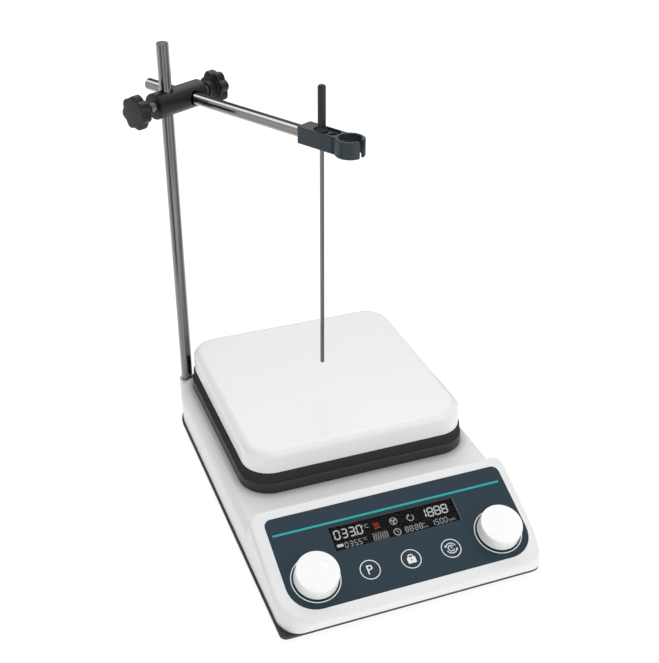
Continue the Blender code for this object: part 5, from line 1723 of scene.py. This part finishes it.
@dataclass(frozen=True)
class FasciaPrint:
    """The teal line and the white rings printed on the fascia, and the signs on the keys.

    Attributes:
        panel: The panel that carries them.
        line_drop: How far down the slope the teal line is.
        line_ends: Its two ends.
        line_width: Its width.
        dial_ring_radius: The radius of the rings round the dials.
        dial_ring_width: Their width.
        key_ring_radius: The radius of the rings round the keys.
        key_ring_width: Their width.
        window_top: How far down the slope the window starts.
        window_foot: How far down it ends.
        window_right: Half its width.
        side_edge: The width of the pale edge at its right.
        top_edge: The width of the pale edge above it.
    """

    panel: Panel
    line_drop: float = 0.01065
    line_ends: tuple[float, float] = (-0.0705, 0.0697)
    line_width: float = 0.0013
    dial_ring_radius: float = 0.01375
    dial_ring_width: float = 0.0006
    key_ring_radius: float = 0.0056
    key_ring_width: float = 0.00055
    window_top: float = 0.0138
    window_foot: float = 0.0284
    window_right: float = 0.0377
    side_edge: float = 0.0004
    top_edge: float = 0.00012

    def rings(self) -> list[Outline]:
        """Draws the rings round the dials and the keys.

        Returns:
            The outlines, in the panel's frame.
        """
        rings = []
        for side in (-1, 1):
            centre = (side * self.panel.dial_spacing / 2, -self.panel.dial_drop)
            rings.append(band(centre, self.dial_ring_radius, self.dial_ring_width))
        for column in (-1, 0, 1):
            centre = (column * self.panel.key_spacing, -self.panel.key_drop)
            rings.append(band(centre, self.key_ring_radius, self.key_ring_width))
        return rings

    def build(self, shop: Workshop) -> None:
        """Adds the printed pieces.

        Args:
            shop: What makes the pieces.
        """
        face = self.panel.at(0, 0)
        line = stroke(*((end, -self.line_drop) for end in self.line_ends), self.line_width)
        shop.print_marks("teal_line", [line], face, Body.HOUSING, TEAL_INK)
        shop.print_marks("white_rings", self.rings(), face, Body.HOUSING, WHITE_INK)
        corner = (self.window_right, -self.window_top)
        edge = [
            stroke(corner, (self.window_right, -self.window_foot), self.side_edge),
            stroke((-self.window_right, -self.window_top), corner, self.top_edge),
        ]
        shop.print_marks("window_edge", edge, face, Body.HOUSING, EDGE_GREY)
        signs = KeySigns()
        keys = (
            ("program_sign", Body.PROGRAM, signs.program()),
            ("lock_sign", Body.LOCK, signs.lock()),
            ("timer_sign", Body.TIMER, signs.timer()),
        )
        for column, (name, body, outlines) in enumerate(keys, -1):
            cap = self.panel.at(column * self.panel.key_spacing, self.panel.key_drop, self.panel.key_proud)
            shop.print_marks(name, outlines, cap, body, WHITE_INK)
        above = self.panel.at(0, self.panel.key_drop, self.panel.key_proud + INK_THICKNESS)
        shop.print_marks("keyhole", signs.keyhole(), above, Body.LOCK, DARK_INK)


@dataclass(frozen=True)
class Dial:
    """A white dial: the CAD dial's outline in fine facets, with a small finger dimple on its top.

    Attributes:
        panel: The panel it stands on.
        side: -1 for the left dial and 1 for the right one.
        dimple_angle: The way from its middle to the dimple, in degrees.
        radius: Its radius at the foot.
        taper: How much narrower its top is.
        edge: The radius of its top edge.
        top: The height of its top above the panel.
        lift: How far above the panel its skirt ends.
        wall: The skirt's thickness.
        dimple_radius: The dimple's radius.
        dimple_reach: How far from the middle the dimple is.
        dimple_depth: How deep it is.
        foot_chamfer: The chamfer of the skirt's outer foot.
        top_rings: How many rings of faces the top has.
        facets: How many facets the dial has round it.
    """

    panel: Panel
    side: int
    dimple_angle: float
    radius: float = 0.0125
    taper: float = 0.0003
    edge: float = 0.0006
    top: float = 0.0093
    lift: float = 0.0009
    wall: float = 0.0018
    dimple_radius: float = 0.0022
    dimple_reach: float = 0.0068
    dimple_depth: float = 0.0005
    foot_chamfer: float = 0.0002
    top_rings: int = 24
    facets: int = 96

    def profile(self) -> list[Point]:
        """Draws the outline, from the middle of the top round the skirt to the underside.

        Returns:
            Points of radius and height.
        """
        rim = self.radius - self.taper
        flat = rim - self.edge
        points = [(flat * ring / self.top_rings, self.top) for ring in range(self.top_rings + 1)]
        points += arc((flat, self.top - self.edge), self.edge, 90, 0, 8)[1:]
        inner = self.radius - self.wall
        roof = self.top - self.wall
        points += [(self.radius, self.lift + self.foot_chamfer), (self.radius - self.foot_chamfer, self.lift)]
        return points + [(inner, self.lift), (inner, roof), (0.0, roof)]

    def build(self, shop: Workshop) -> None:
        """Adds the dial in place of the CAD one.

        Args:
            shop: What makes the pieces.
        """
        build = lathe(self.profile(), self.facets)
        angle = math.radians(self.dimple_angle)
        spot = Vector((math.cos(angle), math.sin(angle), 0)) * self.dimple_reach
        for vertex in build.verts:
            reach = (vertex.co.xy - spot.xy).length / self.dimple_radius
            if reach < 1 and vertex.co.z > self.top - self.edge / 4:
                vertex.co.z -= self.dimple_depth * (1 - reach * reach) ** 2
        name, body = ("left", Body.LEFT_DIAL) if self.side < 0 else ("right", Body.RIGHT_DIAL)
        where = self.panel.at(self.side * self.panel.dial_spacing / 2, self.panel.dial_drop)
        node = f"{name}_knob"
        piece = shop.place(f"{name}_dial_cap", mesh_from(build, name), where, body, WHITE_DIAL, node)
        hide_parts(node)


@dataclass(frozen=True)
class BossFrame:
    """Where the boss head and the sensor clip stand.

    Attributes:
        boss: The rod's axis at the boss's height, with X along the boss away from the rod.
        clip: The crossbar's line, with X along the bar towards the clip.
    """

    boss: Matrix
    clip: Matrix

    @classmethod
    def find(cls, turn: float = math.radians(28.6), bar_offset: float = 0.0170) -> "BossFrame":
        """Reads the frames from the rod and the bar.

        Args:
            turn: The boss's turn from +X.
            bar_offset: How far along the boss the bar is.

        Returns:
            The frames.
        """
        low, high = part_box("support_rod")
        bar_low, bar_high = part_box("crossbar")
        middle = (low + high) / 2
        height = (bar_low.z + bar_high.z) / 2
        boss = Matrix.Translation((middle.x, middle.y, height)) @ Matrix.Rotation(turn, 4, "Z")
        clip = boss @ Matrix.Translation((bar_offset, 0, 0)) @ Matrix.Rotation(-QUARTER_TURN, 4, "Z")
        return cls(boss, clip)


@dataclass(frozen=True)
class ClampScrew:
    """A clamp's lobed knob and its threaded screw.

    Attributes:
        name: The clamp's name in the CAD nodes.
        body: The CAD body it rides on.
        where: The boss's frame.
        side: -1 at the rod's end of the boss and 1 at the bar's end.
        end: How far the boss's end is from the rod's axis.
        tip: How far the screw's tip is from the rod's axis.
        standoff: The gap between the boss's end and the hub.
        hub_radius: The hub's radius.
        hub_length: Its length.
        collar_radius: The radius of the collar between hub and star.
        collar_height: Its height.
        star_radius: The star's radius at the tips of its lobes.
        lobe_depth: Half the depth of the valleys between them.
        lobes: How many lobes there are.
        thickness: The star's thickness.
        edge: How far in the rim's rounded edges start.
        dish_radius: The radius of the face's low dome.
        dish_middle: The radius at which the dome gets steeper.
        dish_rise: How high it stands.
        chamfer: The chamfers of the hub.
        facets: How many facets the knob has round it.
        screw_radius: The radius of the thread's crest.
        screw_sunk: How far the screw goes into the hub.
        screw_gap: The gap round it there.
        pitch: The thread's pitch.
        thread_depth: How deep the thread is.
        thread_facets: How many facets it has round it.
        rings_per_turn: How many rings of faces one turn of it has.
    """

    name: str
    body: Body
    where: Matrix
    side: int
    end: float
    tip: float
    standoff: float = 0.0047
    hub_radius: float = 0.0052
    hub_length: float = 0.0051
    collar_radius: float = 0.0074
    collar_height: float = 0.0010
    star_radius: float = 0.0103
    lobe_depth: float = 0.0009
    lobes: int = 7
    thickness: float = 0.0060
    edge: float = 0.0010
    dish_radius: float = 0.0066
    dish_middle: float = 0.0040
    dish_rise: float = 0.0002
    chamfer: float = 0.0003
    facets: int = 112
    screw_radius: float = 0.0029
    screw_sunk: float = 0.0052
    screw_gap: float = 0.0002
    pitch: float = 0.0010
    thread_depth: float = 0.0005
    thread_facets: int = 24
    rings_per_turn: int = 6

    def swell(self, angle: float, radius: float) -> float:
        """Says how far a ring follows the lobes: fully at the rim and not at all near the hub.

        Args:
            angle: The angle round the knob.
            radius: The ring's radius.

        Returns:
            What the radius is times there.
        """
        follow = max(0.0, min(1.0, (radius - self.collar_radius) / (self.star_radius - self.collar_radius)))
        wave = (1 - abs(math.cos(self.lobes * angle / 2))) ** 0.8
        return 1 - 2 * follow * self.lobe_depth * wave / self.star_radius

    def knob(self) -> bmesh.types.BMesh:
        """Makes the knob, with its hub towards the boss and a low dome in its face.

        Returns:
            The knob.
        """
        hub_end = self.hub_length + self.standoff
        face = hub_end + self.thickness
        under = hub_end - self.collar_height
        rim, edge, chamfer = self.star_radius, self.edge, self.chamfer
        bore = self.screw_radius + self.screw_gap
        bore_end = hub_end - edge / 2
        dish = [(0.0, face + self.dish_rise), (self.dish_middle, face + self.dish_rise * 0.75)]
        dish.append((self.dish_radius, face))
        front = [(rim - edge * 0.9, face), (rim - edge * 0.4, face - edge * 0.15)]
        front += [(rim - edge * 0.1, face - edge / 2), (rim, face - edge)]
        back = [(rim, hub_end + edge), (rim - edge * 0.2, hub_end + edge * 0.4), (rim - edge * 0.8, hub_end)]
        collar = [(self.collar_radius, hub_end), (self.collar_radius - edge * 0.2, under)]
        hub = [(self.hub_radius + edge * 0.4, under), (self.hub_radius, under - chamfer)]
        hub.append((self.hub_radius - chamfer, self.standoff + chamfer))
        hub.append((self.hub_radius - 2 * chamfer, self.standoff))
        socket = [(bore, self.standoff), (bore, bore_end), (0.0, bore_end)]
        return lathe(dish + front + back + collar + hub + socket, self.facets, self.swell)

    def thread(self) -> bmesh.types.BMesh:
        """Makes the screw, with a real helical thread from its tip to the knob.

        Returns:
            The screw.
        """
        build = bmesh.new()
        start = self.tip - self.end
        length = self.standoff + self.screw_sunk - start
        steps, around = int(length / self.pitch * self.rings_per_turn), self.thread_facets
        rings = []
        for i in range(steps + 1):
            along = length * i / steps
            ring = []
            for j in range(around):
                phase = (along / self.pitch - j / around) % 1
                radius = self.screw_radius - self.thread_depth * (1 - abs(2 * phase - 1))
                spot = ring_spot((0, 0), radius, 360 * j / around)
                ring.append(build.verts.new((*spot, start + along)))
            rings.append(ring)
        for lower, upper in zip(rings, rings[1:]):
            for j in range(around):
                k = (j + 1) % around
                build.faces.new((lower[j], lower[k], upper[k], upper[j]))
        build.faces.new(list(reversed(rings[0])))
        build.faces.new(rings[-1])
        return build

    def build(self, shop: Workshop) -> None:
        """Adds the knob and the screw in place of the CAD ones.

        Args:
            shop: What makes the pieces.
        """
        turn = Matrix.Rotation(self.side * QUARTER_TURN, 4, "Y")
        where = self.where @ Matrix.Translation((self.side * self.end, 0, 0)) @ turn
        pieces = (
            ("lobed_knob", f"{self.name}_clamp_knob", self.knob(), KNOB_BLACK),
            ("threaded_screw", f"{self.name}_clamp_screw", self.thread(), THREAD_STEEL),
        )
        for kind, node, shape, finish in pieces:
            piece = shop.place(f"{self.name}_{kind}", mesh_from(shape, node), where, self.body, finish, node)
            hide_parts(node)


@dataclass(frozen=True)
class TrayScrews:
    """The pan-head screws under the base tray.

    Attributes:
        side: How far beside the plate's centre each one is.
        front: How far along Y from it the front ones are.
        rear: How far the rear ones are.
        seat: How far above the bench they sit.
        radius: A head's radius.
        height: Its height.
        slot: Half the width of its cross recess.
    """

    side: float = 0.06975
    front: float = -0.08640
    rear: float = 0.0460
    seat: float = 0.0055
    radius: float = 0.0031
    height: float = 0.0012
    slot: float = 0.0007

    def head(self) -> bmesh.types.BMesh:
        """Makes a domed head with a cross recess.

        Returns:
            The head.
        """
        radius, height = self.radius, self.height
        dome = [(0.0, -height), (radius * 0.45, -height), (radius * 0.8, -height * 0.8)]
        dome += [(radius, -height * 0.3), (radius, 0.0), (0.0, 0.0)]
        build = lathe(dome, 32)
        for vertex in build.verts:
            near_slot = min(abs(vertex.co.x), abs(vertex.co.y)) < self.slot
            if near_slot and vertex.co.z < -height * 0.9 and vertex.co.xy.length < radius * 0.5:
                vertex.co.z += height * 0.45
        return build

    def build(self, shop: Workshop, middle: Vector) -> None:
        """Adds the screws.

        Args:
            shop: What makes the pieces.
            middle: The plate's centre.
        """
        places = [(side * self.side, y) for side in (-1, 1) for y in (self.front, self.rear)]
        for number, (x, y) in enumerate(places, 1):
            where = Matrix.Translation((middle.x + x, middle.y + y, self.seat))
            mesh = mesh_from(self.head(), "tray_screw")
            shop.place(f"tray_screw_{number}", mesh, where, Body.HOUSING, SCREW_STEEL)


@dataclass(frozen=True)
class EarCollar:
    """The white collar that closes the gap round the threaded insert at the rod's foot.

    Attributes:
        bore: The radius of its bore.
        radius: Its outer radius.
        height: Its thickness.
        lift: How far above the insert it lies.
    """

    bore: float = 0.0039
    radius: float = 0.0049
    height: float = 0.00016
    lift: float = 0.00002

    def build(self, shop: Workshop) -> None:
        """Adds the collar on top of the ear.

        Args:
            shop: What makes the pieces.
        """
        low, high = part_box("rod_insert")
        middle = (low + high) / 2
        profile = [(self.bore, 0.0), (self.radius, 0.0), (self.radius, self.height), (self.bore, self.height)]
        ring = lathe(profile + profile[:1], 48)
        bmesh.ops.remove_doubles(ring, verts=ring.verts, dist=WELD_DISTANCE)
        where = Matrix.Translation((middle.x, middle.y, high.z + self.lift))
        shop.place("ear_collar", mesh_from(ring, "ear_collar"), where, Body.HOUSING, WHITE_HOUSING)


@dataclass(frozen=True)
class RockerMarks:
    """The on and off marks on the two halves of the power rocker.

    Attributes:
        size: How large they are.
        width: How thick they are drawn.
    """

    size: float = 0.0024
    width: float = 0.0005

    def halves(self, rocker: bpy.types.Object) -> list[Matrix]:
        """Finds the frames of the rocker's two outer faces.

        Args:
            rocker: The rocker's CAD node.

        Returns:
            The upper half's frame and the lower half's, with Z out of the face and Y up it.
        """
        groups: dict[float, list[bpy.types.MeshPolygon]] = {}
        for face in rocker.data.polygons:
            if face.normal.y > 0.8:
                groups.setdefault(round(face.normal.z, 2), []).append(face)
        largest = sorted(groups.values(), key=lambda faces: sum(face.area for face in faces))[-2:]
        frames = []
        for faces in largest:
            area = sum(face.area for face in faces)
            middle = sum((face.center * face.area for face in faces), Vector()) / area
            out = faces[0].normal.copy()
            across = Vector((-1, 0, 0))
            frame = Matrix((across, out.cross(across), out)).transposed().to_4x4()
            frame.translation = middle
            frames.append(frame)
        return sorted(frames, key=lambda frame: -frame.translation.z)

    def build(self, shop: Workshop, rocker: bpy.types.Object) -> None:
        """Adds the marks to the rocker's two halves.

        Args:
            shop: What makes the pieces.
            rocker: The rocker's CAD node.
        """
        upper, lower = self.halves(rocker)
        bar = [stroke((0, -self.size / 2), (0, self.size / 2), self.width)]
        shop.print_marks("on_mark", bar, upper, Body.ROCKER, WHITE_INK)
        ring = [band((0, 0), self.size / 2, self.width)]
        shop.print_marks("off_mark", ring, lower, Body.ROCKER, WHITE_INK)


@dataclass(frozen=True)
class ClipRibs:
    """The gripping ribs inside the sensor clip's ring, and the painted shadow where the ring leaves the arm.

    Attributes:
        where: The clip's frame, with X along the bar.
        ring_x: How far along the bar the ring is.
        bore: The radius at which the ribs stand.
        radius: A rib's radius.
        height: How high the ribs and the painted shadow strips are.
        count: How many steps lie between the first rib and the last.
        gap_angle: Half the angle of the ring's split, in degrees.
        join_shadow_x: How far along the bar the painted shadow strips are.
        join_shadow_width: Their width.
        arm_half_width: How far beside the bar's line they are.
    """

    where: Matrix
    ring_x: float = 0.1286
    bore: float = 0.0067
    radius: float = 0.0004
    height: float = 0.0094
    count: int = 26
    gap_angle: float = 32.0
    join_shadow_x: float = 0.1208
    join_shadow_width: float = 0.0019
    arm_half_width: float = 0.0057

    def build(self, shop: Workshop) -> None:
        """Adds the ribs and the painted shadow strips.

        Args:
            shop: What makes the pieces.
        """
        ribs = []
        for number in range(self.count + 1):
            angle = self.gap_angle + (360 - 2 * self.gap_angle) * number / self.count
            centre = ring_spot((0, 0), self.bore, angle)
            ribs.append(arc(centre, self.radius, 0, 360, 10)[:-1])
        place = self.where @ Matrix.Translation((self.ring_x, 0, -self.height / 2))
        mesh = mesh_from(raised(ribs, self.height), "clip_ribs")
        shop.place("clip_ribs", mesh, place, Body.CLIP, CLIP_PLASTIC)
        # Dark strips on the arm's faces: painted shadow of the concave join where the ring meets the arm.
        shadow_strip = [box_outline((0, 0), self.join_shadow_width, self.height)]
        for side, name in ((-1, "front"), (1, "rear")):
            spot = Matrix.Translation((self.join_shadow_x, side * self.arm_half_width, 0))
            face = self.where @ spot @ Matrix.Rotation(-side * QUARTER_TURN, 4, "X")
            shop.print_marks(f"clip_groove_{name}", shadow_strip, face, Body.CLIP, JOIN_SHADOW_INK)


@dataclass(frozen=True)
class FuseCaps:
    """The metal caps on the ends of the glass fuse.

    Attributes:
        radius: A cap's radius.
        length: How far it reaches over the glass.
        overlap: How far it stands past the glass's end.
        bevel: The width of its soft edge.
    """

    radius: float = 0.00272
    length: float = 0.0045
    overlap: float = 0.0001
    bevel: float = 0.0003

    def build(self, shop: Workshop) -> None:
        """Adds one cap at each end.

        Args:
            shop: What makes the pieces.
        """
        low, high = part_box("fuse")
        middle = (low + high) / 2
        profile = [
            (0.0, self.overlap), (self.radius - self.bevel, self.overlap),
            (self.radius, self.overlap - self.bevel), (self.radius, -self.length), (0.0, -self.length),
        ]
        for number, (y, turn) in enumerate(((high.y, -1), (low.y, 1)), 1):
            outward = Matrix.Rotation(turn * QUARTER_TURN, 4, "X")
            where = Matrix.Translation((middle.x, y, middle.z)) @ outward
            mesh = mesh_from(lathe(profile, 32), "fuse_end")
            shop.place(f"fuse_end_{number}", mesh, where, Body.FUSE, NICKEL)


@dataclass(frozen=True)
class Card:
    """A dark card that only mirror-like surfaces see.

    Attributes:
        name: Its name.
        offset: Where its middle stands from the cards' common aim.
        size: Its width and height.
        tone: Its grey tone.
    """

    name: str
    offset: Triple
    size: tuple[float, float]
    tone: float


@dataclass(frozen=True)
class SoftLight:
    """A soft square light.

    Attributes:
        name: Its name.
        offset: Where it stands from the plate's centre on the bench.
        size: Its width.
        power: Its power.
    """

    name: str
    offset: Triple
    size: float = 0.9
    power: float = 3.0


@dataclass(frozen=True)
class Studio:
    """The floor, the wall behind, the lights and the dark cards that the steel mirrors.

    Attributes:
        middle: The plate's centre on the bench.
        floor_size: The floor's width, and the wall's diameter.
        wall_height: The wall's height.
        low_sky: How bright the even light is at the horizon.
        high_sky: How bright it is overhead.
        lights: The lights.
        aim: The point that the cards face, from the plate's centre on the bench.
        cards: The dark cards.
        floor_paint: The floor's finish.
        wall_paint: The wall's finish.
    """

    middle: Vector
    floor_size: float = 8.0
    wall_height: float = 5.0
    low_sky: float = 0.1
    high_sky: float = 1.1
    lights: tuple[SoftLight, ...] = (
        SoftLight("key_light", (0.3, 0.6, 1.0)),
        SoftLight("fill_light", (0.4, -1.0, 0.25)),
    )
    aim: Triple = (-0.07, 0.07, 0.15)
    cards: tuple[Card, ...] = (
        Card("dark_card_left", (-0.20, -0.10, -0.02), (0.10, 0.40), 0.03),
        Card("dark_card_right", (0.24, -0.02, -0.02), (0.08, 0.40), 0.03),
        Card("dark_card_front", (-0.02, -0.42, 0.0), (0.06, 0.34), 0.05),
    )
    floor_paint: Finish = Moulding(
        "floor_paint", (0.25, 0.25, 0.25), 0.85, grain=0.002, depth=0.00001, tone=0.003, shine=0.1, glow=3.5
    )
    wall_paint: Finish = Moulding(
        "backdrop_paint", (0.9, 0.9, 0.9), 0.9, grain=0.002, depth=0.00001, tone=0.003, shine=0.1, glow=1.0
    )

    def stand(self, name: str, build: bmesh.types.BMesh, finish: Finish) -> bpy.types.Object:
        """Adds one piece of the studio.

        Args:
            name: Its name.
            build: Its shape.
            finish: Its finish.

        Returns:
            The piece.
        """
        mesh = mesh_from(build, name)
        mesh.materials.append(finish.build())
        obj = added(name, mesh)
        LOG.info("%s stands in the studio", name)
        return obj

    def card(self, card: Card) -> None:
        """Adds a card.

        Args:
            card: The card.
        """
        build = bmesh.new()
        bmesh.ops.create_grid(build, x_segments=4, y_segments=4, size=0.5)
        bmesh.ops.scale(build, vec=(*card.size, 1), verts=build.verts)
        obj = self.stand(card.name, build, Moulding(card.name, (card.tone,) * 3, 0.9))
        offset = Vector(card.offset)
        obj.location = self.middle + Vector(self.aim) + offset
        obj.rotation_euler = (-offset).to_track_quat("Z", "Y").to_euler()
        obj.visible_camera = False
        obj.visible_diffuse = False
        obj.visible_shadow = False
        obj.visible_transmission = False

    def light(self, light: SoftLight) -> None:
        """Adds a light that shines at the plate.

        Args:
            light: The light.
        """
        data = bpy.data.lights.new(light.name, "AREA")
        data.size = light.size
        data.energy = light.power
        offset = Vector(light.offset)
        obj = added(light.name, data)
        obj.location = self.middle + offset
        obj.rotation_euler = (-offset).to_track_quat("-Z", "Y").to_euler()

    def floor(self) -> None:
        """Adds the pale floor."""
        build = bmesh.new()
        bmesh.ops.create_grid(build, x_segments=8, y_segments=8, size=self.floor_size / 2)
        self.stand("floor", build, self.floor_paint)

    def backdrop(self) -> None:
        """Adds a pale round wall that only the camera sees, for views from the side."""
        radius = self.floor_size / 2
        wall = lathe([(radius, 0.0), (radius, self.wall_height)], 96)
        obj = self.stand("backdrop", wall, self.wall_paint)
        obj.visible_diffuse = False
        obj.visible_glossy = False
        obj.visible_transmission = False
        obj.visible_shadow = False

    def world(self) -> None:
        """Sets the even light from all round, brighter overhead."""
        world = bpy.data.worlds.new("studio")
        bpy.context.scene.world = world
        world.use_nodes = True
        tree = world.node_tree
        place = tree.nodes.new("ShaderNodeTexCoord")
        split = tree.nodes.new("ShaderNodeSeparateXYZ")
        level = tree.nodes.new("ShaderNodeMapRange")
        level.inputs["To Min"].default_value = self.low_sky
        level.inputs["To Max"].default_value = self.high_sky
        tree.links.new(place.outputs["Generated"], split.inputs["Vector"])
        tree.links.new(split.outputs["Z"], level.inputs["Value"])
        background = tree.nodes["Background"]
        background.inputs["Color"].default_value = (1, 1, 1, 1)
        tree.links.new(level.outputs["Result"], background.inputs["Strength"])

    def build(self) -> None:
        """Adds all of the studio."""
        self.floor()
        self.backdrop()
        self.world()
        for light in self.lights:
            self.light(light)
        for card in self.cards:
            self.card(card)


@dataclass(frozen=True)
class PhotoCamera:
    """The camera of the photograph, as fitted to the plate's and the panel's edges.

    Attributes:
        middle: The plate's centre on the bench.
        azimuth: Its way round the object, in degrees.
        elevation: Its angle above the horizon, in degrees.
        roll: Its tilt about its own line of sight, in degrees.
        offset: Where it stands right, up and back of the aim.
        aim_depth: How far below the bench the aim is.
        focal_pixels: Its focal length in pixels.
        width_pixels: The photograph's width.
        sensor: The width of its sensor in millimetres.
        near: The nearest distance that it sees.
        far: The farthest one.
    """

    middle: Vector
    azimuth: float = -20.72
    elevation: float = 30.62
    roll: float = 0.10
    offset: Triple = (0.00524, 0.09085, 0.75256)
    aim_depth: float = 0.016
    focal_pixels: float = 1112.9
    width_pixels: float = 659.0
    sensor: float = 36.0
    near: float = 0.05
    far: float = 50.0

    def build(self) -> None:
        """Adds the camera and makes it the scene's own."""
        azimuth, elevation = math.radians(self.azimuth), math.radians(self.elevation)
        flat = math.cos(elevation)
        back = Vector((math.sin(azimuth) * flat, -math.cos(azimuth) * flat, math.sin(elevation)))
        level = Vector((math.cos(azimuth), math.sin(azimuth), 0))
        upright = back.cross(level)
        roll = math.radians(self.roll)
        right = level * math.cos(roll) + upright * math.sin(roll)
        up = upright * math.cos(roll) - level * math.sin(roll)
        aim = self.middle - Vector((0, 0, self.aim_depth))
        place = aim + right * self.offset[0] + up * self.offset[1] + back * self.offset[2]
        data = bpy.data.cameras.new("photo_camera")
        data.sensor_fit = "HORIZONTAL"
        data.sensor_width = self.sensor
        data.lens = self.sensor * self.focal_pixels / self.width_pixels
        data.clip_start = self.near
        data.clip_end = self.far
        camera = added("photo_camera", data)
        matrix = Matrix((right, up, back)).transposed().to_4x4()
        matrix.translation = place
        camera.matrix_world = matrix
        bpy.context.scene.camera = camera


def main() -> None:
    """Dresses the CAD frame and sets the studio."""
    logging.basicConfig(level=logging.INFO, format="%(name)s: %(message)s")
    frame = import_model()
    bpy.context.scene.view_settings.view_transform = "Standard"
    for name in ("Cube", "Light", "Camera"):
        if name in bpy.data.objects:
            bpy.data.objects.remove(bpy.data.objects[name], do_unlink=True)

    nodes = frame["nodes"]
    low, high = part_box("hot_plate")
    middle = Vector(((low.x + high.x) / 2, (low.y + high.y) / 2, 0))
    palette = Palette()
    shop = Workshop(palette)
    dress_nodes(nodes, palette)
    DrawnShell("upper_housing", WHITE_HOUSING, left_shift=0.0009).build(shop, nodes["upper_housing"])
    DrawnShell("base_tray", TRAY_PLASTIC, corner=0.0131).build(shop, nodes["base_tray"])

    panel = Panel.of(nodes["control_fascia"])
    FasciaPrint(panel).build(shop)
    Display(panel).build(shop)
    Dial(panel, side=-1, dimple_angle=35.0).build(shop)
    Dial(panel, side=1, dimple_angle=182.0).build(shop)

    frames = BossFrame.find()
    ClampScrew("rod", Body.ROD_CLAMP, frames.boss, side=-1, end=0.0104, tip=0.00405).build(shop)
    ClampScrew("bar", Body.BAR_CLAMP, frames.boss, side=1, end=0.0272, tip=0.02095).build(shop)
    TrayScrews().build(shop, middle)
    EarCollar().build(shop)
    RockerMarks().build(shop, nodes["power_rocker"])
    ClipRibs(frames.clip).build(shop)
    FuseCaps().build(shop)

    PhotoCamera(middle).build()
    Studio(middle).build()


if __name__ == "__main__":
    main()
